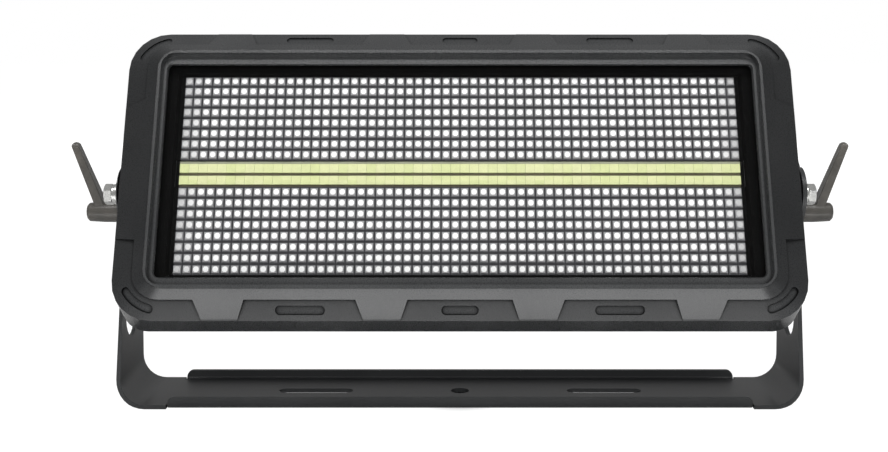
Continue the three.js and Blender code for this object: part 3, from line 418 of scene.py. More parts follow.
@dataclass(frozen=True)
class Surface:
    """An opaque finish: two close colours in soft patches, with a fine grain.

    Attributes:
        name: The material's name.
        low: Darker colour of the patches.
        high: Lighter colour of the patches.
        rough: Lowest and highest roughness.
        metal: How metallic the surface is.
        specular: Strength of its reflections.
        patch: Size of the patches in metres.
        grain: Size of the grain in metres.
        depth: Depth of the grain in metres.
        stretch: Scale of the grain along each axis.
        shade: Painted shade that darkens a casting in places.
    """

    name: str
    low: Colour
    high: Colour
    rough: Span = (0.5, 0.6)
    metal: float = 0.0
    specular: float = 0.5
    patch: float = 0.03
    grain: float = 0.0006
    depth: float = 0.00003
    stretch: Point = EVEN
    shade: CastShade | None = None

    def build(self) -> bpy.types.Material:
        """Builds the material.

        Returns:
            The material.
        """
        sheet = NodeSheet(self.name)
        colour = sheet.ramp(sheet.noise(self.patch, MANY_LAYERS), self.low, self.high)
        specular: Socket | float = self.specular
        # Painted shade darkens the paint's colour and its gloss.
        if self.shade is not None:
            tone = self.shade.tone(sheet)
            colour = sheet.scale(colour, tone)
            specular = sheet.combine("MULTIPLY", tone, self.specular)
        grain = sheet.noise(self.grain, FEW_LAYERS, self.stretch)
        inputs: Inputs = {
            "Base Color": colour,
            "Metallic": self.metal,
            "Specular IOR Level": specular,
            "Roughness": sheet.spread(grain, *self.rough),
            "Normal": sheet.bump(grain, self.depth),
        }
        return sheet.close(sheet.principled(inputs))


@dataclass(frozen=True)
class ClearPane:
    """Clear toughened glass that dims little and mirrors faintly.

    Attributes:
        name: The material's name.
        tint: Colour of the veil on the glass.
        alpha: How much of the veil shows.
        index: Index of refraction, which sets how much the glass mirrors.
        rough: Lowest and highest roughness of the faint smears.
        smear: Size of the smears in metres.
        stretch: Scale of the smears along each axis.
    """

    name: str
    tint: Colour
    alpha: float
    index: float = 1.22
    rough: Span = (0.02, 0.05)
    smear: float = 0.04
    stretch: Point = (1.0, 1.0, 0.4)

    def build(self) -> bpy.types.Material:
        """Builds the material.

        Returns:
            The material.
        """
        sheet = NodeSheet(self.name)
        smears = sheet.noise(self.smear, SOME_LAYERS, self.stretch)
        inputs: Inputs = {
            "Base Color": (*self.tint, 1.0),
            "Alpha": self.alpha,
            "IOR": self.index,
            "Roughness": sheet.spread(smears, *self.rough),
        }
        return sheet.close(sheet.principled(inputs))


@dataclass(frozen=True)
class PhosphorStrip:
    """Yellow-green phosphor in segments, each a little different.

    Attributes:
        name: The material's name.
        cool: Colour of the coolest segments.
        warm: Colour of the warmest segments.
        pitch: Width of a segment in metres.
        cell: Height and depth of the cell that gives a segment its colour, in metres.
        specular: Strength of its reflections.
        rough: Its roughness.
        cloud: Size of the soft clouds on it, in metres.
        dull: Tone of the darkest cloud.
        clouded: How much the clouds show.
    """

    name: str
    cool: Colour
    warm: Colour
    pitch: float
    cell: float = 0.02
    specular: float = 0.3
    rough: float = 0.45
    cloud: float = 0.004
    dull: float = 0.86
    clouded: float = 0.5

    def build(self) -> bpy.types.Material:
        """Builds the material.

        Returns:
            The material.
        """
        sheet = NodeSheet(self.name)
        cells = {0: sheet.coordinates.outputs["Object"], 1: (self.pitch, self.cell, self.cell)}
        segment = sheet.add("ShaderNodeVectorMath", cells, operation="SNAP").outputs["Vector"]
        chance = sheet.add("ShaderNodeTexWhiteNoise", {"Vector": segment}, noise_dimensions="3D")
        clouds = sheet.ramp(sheet.noise(self.cloud, FEW_LAYERS), grey(self.dull), WHITE)
        colours = {
            MixSocket.SHARE: self.clouded,
            MixSocket.FIRST: sheet.ramp(chance.outputs["Value"], self.cool, self.warm, (0.0, 1.0)),
            MixSocket.SECOND: clouds,
        }
        mixed = sheet.add("ShaderNodeMix", colours, data_type="RGBA", blend_type="MULTIPLY")
        inputs: Inputs = {
            "Base Color": mixed.outputs[MixSocket.RESULT],
            "Specular IOR Level": self.specular,
            "Roughness": self.rough,
        }
        return sheet.close(sheet.principled(inputs))


Finish = Surface | ClearPane | PhosphorStrip

# The casting's paint carries painted shade in its crevices, on its side slopes and on its upright
# panels.
CASTING_PAINT = Surface(
    "casting_paint", (0.024, 0.025, 0.026), (0.032, 0.033, 0.034), (0.25, 0.32),
    patch=0.05, grain=0.0007, depth=0.00004, shade=CastShade(),
)
YOKE_PAINT = Surface(
    "yoke_paint", (0.022, 0.023, 0.024), (0.030, 0.031, 0.032), (0.36, 0.48), patch=0.06,
)
MASK_BLACK = Surface("mask_black", grey(0.0010), grey(0.0018), (0.7, 0.8), specular=0.03)
GASKET_RUBBER = Surface("gasket_rubber", grey(0.010), grey(0.016), (0.8, 0.9), specular=0.2)
BOARD_GROUND = Surface(
    "board_ground", (0.026, 0.026, 0.029), (0.036, 0.036, 0.039), (0.55, 0.65),
    specular=0.2, patch=0.01,
)
BOARD_TILE = Surface(
    "board_tile", (0.10, 0.10, 0.105), (0.14, 0.14, 0.145), (0.5, 0.6),
    specular=0.2, patch=0.012,
)
EMITTER_CASE = Surface(
    "emitter_case", (0.29, 0.29, 0.295), (0.37, 0.37, 0.375), (0.4, 0.5),
    specular=0.3, patch=0.01,
)
EMITTER_WHITE = Surface(
    "emitter_white", grey(0.88), (0.94, 0.94, 0.93), (0.35, 0.45), specular=0.4, patch=0.02,
)
# Darker copies of the white window, painting the frame's shade on the outer columns.
EMITTER_HALF_SHADED = Surface(
    "emitter_half_shaded", grey(0.64), grey(0.74), (0.35, 0.45), specular=0.4, patch=0.02,
)
EMITTER_DEEP_SHADED = Surface(
    "emitter_deep_shaded", grey(0.46), grey(0.56), (0.35, 0.45), specular=0.4, patch=0.02,
)
PHOSPHOR = PhosphorStrip(
    "phosphor_strip", (0.62, 0.67, 0.335), (0.68, 0.705, 0.395), COLUMN_PITCH * MM,
)
STRIP_DAM = Surface(
    "strip_dam", (0.24, 0.25, 0.18), (0.32, 0.33, 0.24), specular=0.2, patch=0.02,
)
STRIP_GAP = Surface(
    "strip_gap", (0.085, 0.078, 0.050), (0.125, 0.112, 0.075), specular=0.2, patch=0.02,
)
MILL_ALUMINIUM = Surface(
    "mill_aluminium", (0.62, 0.63, 0.64), (0.70, 0.71, 0.72), (0.32, 0.45), metal=1.0,
    grain=0.0004, stretch=(1.0, 1.0, 0.05),
)
SUPPLY_CASE = Surface(
    "supply_case", (0.50, 0.51, 0.52), (0.58, 0.59, 0.60), (0.35, 0.5), metal=0.9,
)
ZINC_PLATE = Surface(
    "zinc_plate", (0.48, 0.48, 0.47), (0.60, 0.60, 0.58), (0.26, 0.40), metal=1.0,
    patch=0.008, grain=0.0004, depth=0.00001,
)
BLACK_PLASTIC = Surface(
    "black_plastic", (0.012, 0.012, 0.013), (0.020, 0.020, 0.021), (0.38, 0.5),
    specular=0.4, patch=0.02,
)
LEVER_PLASTIC = Surface(
    "lever_plastic", (0.046, 0.043, 0.038), (0.076, 0.070, 0.061), (0.3, 0.42),
    specular=0.6, patch=0.012,
)
CIRCUIT_GREEN = Surface(
    "circuit_green", (0.012, 0.08, 0.035), (0.02, 0.12, 0.05), (0.35, 0.45), patch=0.006,
)
BUTTON_RUBBER = Surface(
    "button_rubber", (0.05, 0.05, 0.055), (0.07, 0.07, 0.075), (0.7, 0.8), specular=0.3,
)
SMOKED_WINDOW = Surface(
    "smoked_window", (0.008, 0.018, 0.028), (0.012, 0.025, 0.035), (0.05, 0.1),
    patch=0.02, depth=0.0,
)
FRONT_GLASS = ClearPane("front_glass", grey(0.02), 0.07)

SLOT_FINISHES: dict[str, Finish] = {
    "yoke_paint": YOKE_PAINT,
    "casting_paint": CASTING_PAINT,
    "gasket_rubber": GASKET_RUBBER,
    "lamp_glass": FRONT_GLASS,
    "mask_black": MASK_BLACK,
    "led_board": BOARD_TILE,
    "white_led_board": STRIP_GAP,
    "heat_sink_metal": MILL_ALUMINIUM,
    "supply_case": SUPPLY_CASE,
    "control_circuit": CIRCUIT_GREEN,
    "black_plastic": BLACK_PLASTIC,
    "display_clear": SMOKED_WINDOW,
    "button_rubber": BUTTON_RUBBER,
    "lever_plastic": LEVER_PLASTIC,
    "zinc_steel": ZINC_PLATE,
}
BOARD_FINISHES: dict[BoardPart, Finish] = {
    BoardPart.GROUND: BOARD_GROUND,
    BoardPart.TILE: BOARD_TILE,
    BoardPart.CASE: EMITTER_CASE,
    BoardPart.WINDOW: EMITTER_WHITE,
    BoardPart.SHADED_WINDOW: EMITTER_HALF_SHADED,
    BoardPart.DEEP_SHADED_WINDOW: EMITTER_DEEP_SHADED,
    BoardPart.BLACK_END: MASK_BLACK,
}
STRIP_FINISHES: dict[StripPart, Finish] = {
    StripPart.GROUND: STRIP_GAP,
    StripPart.PHOSPHOR: PHOSPHOR,
    StripPart.DAM: STRIP_DAM,
    StripPart.BLACK_END: MASK_BLACK,
}


class Palette:
    """Builds each finish once and hands it out."""

    def __init__(self) -> None:
        """Starts with no finish built."""
        self.built: dict[str, bpy.types.Material] = {}

    def of(self, finish: Finish) -> bpy.types.Material:
        """Gives a finish's material.

        Args:
            finish: The finish.

        Returns:
            Its material, built at its first use.
        """
        if finish.name not in self.built:
            self.built[finish.name] = finish.build()
        return self.built[finish.name]

    def all_of(self, finishes: Iterable[Finish]) -> list[bpy.types.Material]:
        """Gives the materials of several finishes."""
        return [self.of(finish) for finish in finishes]


@dataclass
class Form:
    """Points and faces of one piece while it is drawn.

    Attributes:
        points: The points, in the head's frame.
        faces: Each face's points.
        parts: Each face's finish, counted in the piece's list of finishes.
    """

    points: list[Point] = field(default_factory=list)
    faces: list[Face] = field(default_factory=list)
    parts: list[int] = field(default_factory=list)

    def add(self, points: Iterable[Point], faces: Iterable[Face], part: int = 0) -> None:
        """Adds points and the faces between them.

        Args:
            points: The new points.
            faces: The new faces, counted from the first new point.
            part: The faces' finish.
        """
        first = len(self.points)
        self.points.extend(points)
        for face in faces:
            self.faces.append(tuple(first + corner for corner in face))
            self.parts.append(int(part))

    def slab(self, low: Point, high: Point, part: int = 0) -> None:
        """Adds a block between two corners.

        Args:
            low: The lowest corner.
            high: The highest corner.
            part: The block's finish.
        """
        x0, y0, z0 = low
        x1, y1, z1 = high
        points = [(x0, y0, z0), (x1, y0, z0), (x1, y1, z0), (x0, y1, z0)]
        points += [(x, y, z1) for x, y, _ in points]
        ends = [(3, 2, 1, 0), (4, 5, 6, 7)]
        sides = [(0, 1, 5, 4), (1, 2, 6, 5), (2, 3, 7, 6), (3, 0, 4, 7)]
        self.add(points, ends + sides, part)

    def loft(self, rings: Sequence[Sequence[Point]], part: int = 0) -> None:
        """Joins rings of as many points each, and closes both ends.

        Args:
            rings: The rings, each counted anticlockwise as seen from the last one's side.
            part: The loft's finish.
        """
        count = len(rings[0])
        last = (len(rings) - 1) * count
        faces: list[Face] = []
        for low, step in itertools.product(range(0, last, count), range(count)):
            following = low + (step + 1) % count
            faces.append((low + step, following, following + count, low + step + count))
        faces.append(tuple(range(count - 1, -1, -1)))
        faces.append(tuple(range(last, last + count)))
        self.add(itertools.chain.from_iterable(rings), faces, part)

    def object(self, name: str, finishes: Sequence[bpy.types.Material]) -> bpy.types.Object:
        """Makes the piece.

        Args:
            name: The piece's name.
            finishes: Its materials, in the order that the faces' parts count.

        Returns:
            The new object, at the origin.
        """
        mesh = bpy.data.meshes.new(name)
        mesh.from_pydata(self.points, [], self.faces)
        for finish in finishes:
            mesh.materials.append(finish)
        mesh.polygons.foreach_set("material_index", self.parts)
        mesh.transform(head_frame())
        mesh.update()
        made = bpy.data.objects.new(name, mesh)
        bpy.context.scene.collection.objects.link(made)
        return made


def shade_smooth(made: bpy.types.Object) -> None:
    """Shades all faces of a piece smooth."""
    made.data.polygons.foreach_set("use_smooth", [True] * len(made.data.polygons))


def split_edges(made: bpy.types.Object, angle: float) -> None:
    """Splits a piece's shading at edges that are sharper than an angle in degrees."""
    split = made.modifiers.new("crisp_edges", "EDGE_SPLIT")
    split.split_angle = math.radians(angle)


@dataclass
class Piece:
    """What every dressed piece needs to join the lamp.

    Attributes:
        palette: The finishes.
        body: The body that the piece rides on.
    """

    palette: Palette
    body: str = "head"

    def join(self, made: bpy.types.Object, slot: str, *nodes: str) -> bpy.types.Object:
        """Sets a piece on its body in place of its solids.

        Args:
            made: The piece.
            slot: The record's slot that the piece's finish belongs to; not used.
            nodes: The solids that it stands for.

        Returns:
            The piece.
        """
        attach(made, self.body)
        if nodes:
            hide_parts(*nodes)
        LOG.info("%s: %d faces on %s", made.name, len(made.data.polygons), self.body)
        return made


@dataclass
class EmitterField(Piece):
    """The boards: rows of square emitters above and below two phosphor strips.

    Attributes:
        columns: Emitters in a row, and segments in a strip.
        rows: Rows of emitters in each half.
        pitch: Distance between columns.
        row_pitch: Distance between rows.
        strip_pitch: Distance between the strips' middles.
        strip_to_row: Distance from a strip's middle to the nearest row's.
        face: Front of the colour boards along e.
        white_face: Front of the white board along e.
        board: Thickness of every board.
        board_half: Half of every board's length.
        board_edge: How far a colour board goes on past its outermost row's middle.
        white_half: Half of the white board's height up the face.
        joint: Gap between the white board and each colour board.
        tile_gap: Gap between the pale tiles of neighbouring columns.
        tile_row_gap: Gap between the pale tiles of neighbouring rows.
        tile_height: How far the tiles stand on the board.
        package: An emitter's width and height up the face.
        package_height: How far an emitter stands on the board.
        ease: Width of its eased front edges.
        window: Its white window's width and height up the face.
        window_cut: Size of the window's cut corners.
        window_height: Height of the window's upright wall, half of which is sunk in the case.
        window_ease: How far the window's front is drawn in.
        phosphor_height: A strip's height up the face.
        strip_height: How far the strips stand on their board.
        segment_gap: Gap between a strip's segments.
        dam_gap: Gap below and above the dam over the upper strip.
    """

    columns: int = 60
    rows: int = 8
    pitch: float = COLUMN_PITCH
    row_pitch: float = 7.63
    strip_pitch: float = 8.46
    strip_to_row: float = 8.98
    face: float = 42.05
    white_face: float = 40.0
    board: float = 2.0
    board_half: float = 189.9
    board_edge: float = 3.6
    white_half: float = 9.03
    joint: float = 0.3
    tile_gap: float = 0.7
    tile_row_gap: float = 1.3
    tile_height: float = 0.12
    package: Span = (4.7, 5.0)
    package_height: float = 1.3
    ease: float = 0.2
    window: Span = (3.65, 3.85)
    window_cut: float = 1.05
    window_height: float = 0.3
    window_ease: float = 0.3
    phosphor_height: float = 6.1
    strip_height: float = 1.2
    segment_gap: float = 0.16
    dam_gap: float = 0.1

    def column_places(self) -> list[float]:
        """Gives the middle of each column."""
        return [(column - (self.columns - 1) / 2) * self.pitch for column in range(self.columns)]

    def row_places(self, half: Half) -> list[float]:
        """Gives the middle of each row in one half.

        Args:
            half: The half.

        Returns:
            The places up the face.
        """
        first = self.strip_pitch / 2 + self.strip_to_row
        return [half.value * (first + row * self.row_pitch) for row in range(self.rows)]

    def window_part(self, column: int) -> BoardPart:
        """Gives the finish of an emitter's window: the outer columns get painted shade of the
        frame.

        Args:
            column: The emitter's column.

        Returns:
            The finish's place on the board's list.
        """
        from_edge = min(column, self.columns - 1 - column)
        # Painted shade: the two outermost columns at each end get darker whites, the outermost the
        # darkest.
        shaded = {0: BoardPart.DEEP_SHADED_WINDOW, 1: BoardPart.SHADED_WINDOW}
        return shaded.get(from_edge, BoardPart.WINDOW)

    def window_outline(self, x: float, v: float, e: float, inset: float) -> list[Point]:
        """Gives one outline of an emitter's window: a rectangle with cut corners.

        Args:
            x: The emitter's place across.
            v: Its place up the face.
            e: Height of the outline.
            inset: How far the outline is drawn in.

        Returns:
            The eight points.
        """
        half_x, half_v = self.window[0] / 2 - inset, self.window[1] / 2 - inset
        cut_x, cut_v = half_x - self.window_cut, half_v - self.window_cut
        outline = [
            (half_x, cut_v), (cut_x, half_v), (-cut_x, half_v), (-half_x, cut_v),
            (-half_x, -cut_v), (-cut_x, -half_v), (cut_x, -half_v), (half_x, -cut_v),
        ]
        return [(x + across, v + up, e) for across, up in outline]

    def case(self, form: Form, x: float, v: float) -> None:
        """Draws an emitter's grey case with eased front edges and an open back.

        Args:
            form: What it is added to.
            x: Its place across.
            v: Its place up the face.
        """
        half_x, half_v = self.package[0] / 2, self.package[1] / 2
        eased_x, eased_v = half_x - self.ease, half_v - self.ease
        top = self.face + self.package_height
        corners = [(1, 1), (-1, 1), (-1, -1), (1, -1)]
        points: list[Point] = [(x + a * half_x, v + b * half_v, self.face) for a, b in corners]
        points += [(x + a * half_x, v + b * half_v, top - self.ease) for a, b in corners]
        points += [(x + a * eased_x, v + b * eased_v, top) for a, b in corners]
        count = len(corners)
        faces: list[Face] = []
        for side, low in itertools.product(range(count), (0, count)):
            following = low + (side + 1) % count
            faces.append((low + side, following, following + count, low + side + count))
        faces.append(tuple(range(2 * count, 3 * count)))
        form.add(points, faces, BoardPart.CASE)

    def emitter(self, form: Form, x: float, v: float, part: BoardPart) -> None:
        """Draws one emitter: its case and its white domed window.

        Args:
            form: What it is added to.
            x: Its place across.
            v: Its place up the face.
            part: Its window's finish.
        """
        self.case(form, x, v)
        top = self.face + self.package_height
        rise = self.window_height / 2
        rings = [
            self.window_outline(x, v, top - rise, 0.0),
            self.window_outline(x, v, top + rise, 0.0),
            self.window_outline(x, v, top + 2 * rise, self.window_ease),
        ]
        form.loft(rings, part)

    def black_ends(self, form: Form, reach: float, low: Point, high: Point, part: int) -> None:
        """Draws a board's black ends, past its emitters.

        Args:
            form: What they are added to.
            reach: Half of the length that lies between them.
            low: The lowest corner, whose place across isn't used.
            high: The highest corner, whose place across isn't used.
            part: Their finish.
        """
        for side in Side:
            inner, outer = sorted((side.value * reach, side.value * self.board_half))
            form.slab((inner, *low[1:]), (outer, *high[1:]), part)

    def colour_board(self, half: Half) -> bpy.types.Object:
        """Makes one half's colour emitters on their board.

        Args:
            half: The half.

        Returns:
            The piece.
        """
        form = Form()
        rows = self.row_places(half)
        near = self.white_half + self.joint
        far = abs(rows[-1]) + self.board_edge
        low, high = (near, far) if half is Half.UPPER else (-far, -near)
        reach = (self.columns - 1) * self.pitch / 2 + self.package[0] / 2
        lowest = (-reach, low, self.face - self.board)
        highest = (reach, high, self.face)
        form.slab(lowest, highest, BoardPart.GROUND)
        self.black_ends(form, reach, lowest, highest, BoardPart.BLACK_END)
        tile_x = (self.pitch - self.tile_gap) / 2
        tile_v = (self.row_pitch - self.tile_row_gap) / 2
        tile_top = self.face + self.tile_height
        for v in rows:
            bottom, top = max(v - tile_v, low), min(v + tile_v, high)
            for column, x in enumerate(self.column_places()):
                corners = (x - tile_x, bottom, self.face), (x + tile_x, top, tile_top)
                form.slab(*corners, BoardPart.TILE)
                self.emitter(form, x, v, self.window_part(column))
        finishes = self.palette.all_of(BOARD_FINISHES[part] for part in BoardPart)
        made = form.object(f"emitters_{half.name.lower()}", finishes)
        return self.join(made, "led_board", f"led_board_{half.name.lower()}")

    def white_board(self) -> bpy.types.Object:
        """Makes the two phosphor strips on their board.

        Returns:
            The piece.
        """
        form = Form()
        back = self.white_face - self.board
        top = self.white_face + self.strip_height
        reach = self.columns * self.pitch / 2
        lowest = (-reach, -self.white_half, back)
        form.slab(lowest, (reach, self.white_half, self.white_face), StripPart.GROUND)
        highest = (reach, self.white_half, top)
        self.black_ends(form, reach, lowest, highest, StripPart.BLACK_END)
        across = (self.pitch - self.segment_gap) / 2
        for half in Half:
            middle = half.value * self.strip_pitch / 2
            low, high = middle - self.phosphor_height / 2, middle + self.phosphor_height / 2
            for x in self.column_places():
                corners = (x - across, low, self.white_face), (x + across, high, top)
                form.slab(*corners, StripPart.PHOSPHOR)
        dam_low = self.strip_pitch / 2 + self.phosphor_height / 2 + self.dam_gap
        dam_high = self.white_half - self.dam_gap
        form.slab((-reach, dam_low, self.white_face), (reach, dam_high, top), StripPart.DAM)
        finishes = self.palette.all_of(STRIP_FINISHES[part] for part in StripPart)
        made = form.object("phosphor_strips", finishes)
        return self.join(made, "white_led_board", "led_board_white")

    def build(self) -> None:
        """Makes the three boards."""
        for half in Half:
            self.colour_board(half)
        self.white_board()


@dataclass
class SocketScrew(Piece):
    """A button-headed screw with a hexagon recess.

    Attributes:
        radius: Radius of the shank.
        head: Radius of the head.
        height: Height of the head.
        recess: Radius of the recess to its corners.
        depth: Depth of the recess.
        recess_floor: Share of the recess's radius and of its depth at which its chamfer begins.
        crown: Corners of the head's crown: share of its radius and share of its height.
        chamfer: Length of the tip's chamfer.
        tip_share: Share of the shank's radius at the tip.
        steps: Points round the screw.
        crisp: Flattest edge in degrees that stays crisp.
    """

    radius: float = 2.0
    head: float = 3.8
    height: float = 2.6
    recess: float = 1.5
    depth: float = 1.5
    recess_floor: float = 0.9
    crown: tuple[Span, ...] = ((0.62, 0.0), (0.86, 0.22), (0.97, 0.5), (1.0, 0.78))
    chamfer: float = 0.5
    tip_share: float = 0.8
    steps: int = 24
    crisp: float = 35.0

    def ring(self, x: float, v: float, radius: float, height: float, sides: int = 0) -> list[Point]:
        """Samples a regular polygon's outline, or a circle's where sides is 0.

        Args:
            x: Its middle across.
            v: Its middle up the face.
            radius: Distance from the middle to a corner.
            height: Place along e.
            sides: Number of the polygon's sides.

        Returns:
            The points.
        """
        points = []
        for step in range(self.steps):
            angle = 2 * math.pi * step / self.steps
            reach = radius
            if sides:
                part = math.pi / sides
                reach *= math.cos(part) / math.cos((angle % (2 * part)) - part)
            points.append((x + reach * math.cos(angle), v + reach * math.sin(angle), height))
        return points

    def make(self, node: str, x: float, v: float, under: float, tip: float) -> bpy.types.Object:
        """Makes one screw whose head faces the back.

        Args:
            node: The solid that it stands for.
            x: Its place across.
            v: Its place up the face.
            under: Place of the head's underside along e.
            tip: Place of the screw's tip along e.

        Returns:
            The piece.
        """
        top = under - self.height
        drive = Drive.HEX.value
        profile = [
            (self.recess * self.recess_floor, top + self.depth, drive),
            (self.recess, top + self.depth * self.recess_floor, drive),
            (self.recess, top, drive),
            *((self.head * out, top + self.height * down) for out, down in self.crown),
            (self.head, under),
            (self.radius, under),
            (self.radius, tip - self.chamfer),
            (self.radius * self.tip_share, tip),
        ]
        form = Form()
        form.loft([self.ring(x, v, *corner) for corner in profile])
        made = form.object(f"{node}_turned", [self.palette.of(ZINC_PLATE)])
        shade_smooth(made)
        split_edges(made, self.crisp)
        return self.join(made, "zinc_steel", node)


@dataclass
class Fasteners:
    """Every screw of the bezel's flange and of the rear cover.

    Attributes:
        palette: The finishes.
        flange_half: Place across of the flange's end screws, and up the face of its long sides'.
        flange_step: Place across of the long sides' screws, and up the face of the end screws.
        flange_span: Underside of the head and tip of a flange screw along e.
        cover_half: Place of the cover screws across and up the face.
        cover_span: Underside of the head and tip of a cover screw along e.
    """

    palette: Palette
    flange_half: Span = (218.6, 93.92)
    flange_step: Span = (140.0, 50.0)
    flange_span: Span = (7.7, 27.1)
    cover_half: Span = (72.5, 62.5)
    cover_span: Span = (-64.1, -51.6)

    def build(self) -> None:
        """Makes the screws of each corner."""
        flange = SocketScrew(self.palette)
        cover = SocketScrew(self.palette, radius=1.5, head=3.0, height=2.0, recess=1.2, depth=1.2)
        for corner, (side, half) in enumerate(itertools.product(Side, Half)):
            on_side = (side.value * self.flange_step[0], half.value * self.flange_half[1])
            on_end = (side.value * self.flange_half[0], half.value * self.flange_step[1])
            flange.make(f"flange_screw_{2 * corner + 1}", *on_side, *self.flange_span)
            flange.make(f"flange_screw_{2 * corner + 2}", *on_end, *self.flange_span)
        for corner, (side, half) in enumerate(itertools.product(Side, Half)):
            place = (side.value * self.cover_half[0], half.value * self.cover_half[1])
            cover.make(f"cover_screw_{corner + 1}", *place, *self.cover_span)


@dataclass(frozen=True)
class Easing:
    """How a solid's edges are softened.

    Attributes:
        width: Width of the eased edge in metres.
        segments: Facets across it.
        angle: Flattest edge in degrees that is eased.
    """

    width: float
    segments: int
    angle: float


EASINGS: dict[str, Easing] = {
    "front_bezel": Easing(0.0008, 3, 24.0),
    "rear_housing": Easing(0.0008, 2, 30.0),
    "rear_cover": Easing(0.0005, 2, 30.0),
    "yoke_frame": Easing(0.0005, 2, 35.0),
    "lock_lever_right": Easing(0.0010, 3, 35.0),
    "lock_lever_left": Easing(0.0010, 3, 35.0),
    "pivot_bolt_right": Easing(0.0003, 2, 25.0),
    "pivot_bolt_left": Easing(0.0003, 2, 25.0),
    "power_supply": Easing(0.0008, 2, 30.0),
    "heat_sink": Easing(0.0004, 1, 30.0),
    "lamp_mask": Easing(0.0002, 1, 30.0),
}


@dataclass
class SolidDresser:
    """Gives each solid that stays its finish, soft edges and shading.

    Attributes:
        palette: The finishes.
        nodes: The solids by name.
        slots: Each solid's slot in the record.
        weld: Distance in metres within which points are one.
        flat: Sharpest edge in degrees inside a flat face.
        crisp: Flattest edge in degrees that stays crisp where no edge is eased.
    """

    palette: Palette
    nodes: dict[str, bpy.types.Object]
    slots: dict[str, str]
    weld: float = 0.00001
    flat: float = 0.6
    crisp: float = 30.0

    def ease(self, node: bpy.types.Object, easing: Easing) -> None:
        """Softens a solid's edges.

        Args:
            node: The solid.
            easing: How they are softened.
        """
        flat = node.modifiers.new("flat_faces", "DECIMATE")
        flat.decimate_type = "DISSOLVE"
        flat.angle_limit = math.radians(self.flat)
        bevel = node.modifiers.new("eased_edges", "BEVEL")
        bevel.width = easing.width
        bevel.segments = easing.segments
        bevel.limit_method = "ANGLE"
        bevel.angle_limit = math.radians(easing.angle)
        bevel.use_clamp_overlap = True
        bevel.harden_normals = False
        weighted = node.modifiers.new("even_shading", "WEIGHTED_NORMAL")
        weighted.keep_sharp = True

    def dress(self, name: str) -> None:
        """Dresses one solid.

        Args:
            name: The solid's name.
        """
        node = self.nodes[name]
        mesh = node.data
        mesh.materials.clear()
        mesh.materials.append(self.palette.of(SLOT_FINISHES[self.slots[name]]))
        if "custom_normal" in mesh.attributes:
            mesh.attributes.remove(mesh.attributes["custom_normal"])
        shade_smooth(node)
        weld = node.modifiers.new("weld", "WELD")
        weld.merge_threshold = self.weld
        if name in EASINGS:
            self.ease(node, EASINGS[name])
        else:
            split_edges(node, self.crisp)
        LOG.info("%s: dressed", name)

    def build(self) -> None:
        """Dresses every solid that no piece stands for."""
        for name, node in self.nodes.items():
            if not node.hide_render:
                self.dress(name)


@dataclass(frozen=True)
class Lamp:
    """A soft rectangular lamp of the studio.

    Attributes:
        name: Its name.
        place: Where it hangs, in metres.
        size: Its width and height in metres.
        power: Its power in watts.
        aim: What it is turned to, in metres.
        mirrored: Whether gloss shows it.
    """

    name: str
    place: Point
    size: Span
    power: float
    aim: Point = (0.0, 0.0, 0.13)
    mirrored: bool = True

    def build(self) -> None:
        """Hangs the lamp and turns it to its aim."""
        light = bpy.data.lights.new(self.name, "AREA")
        light.shape = "RECTANGLE"
        light.size, light.size_y = self.size
        light.energy = self.power
        made = bpy.data.objects.new(self.name, light)
        made.location = self.place
        toward = Vector(self.aim) - Vector(self.place)
        made.rotation_euler = toward.to_track_quat("-Z", "Y").to_euler()
        made.visible_camera = False
        made.visible_glossy = self.mirrored
        bpy.context.scene.collection.objects.link(made)


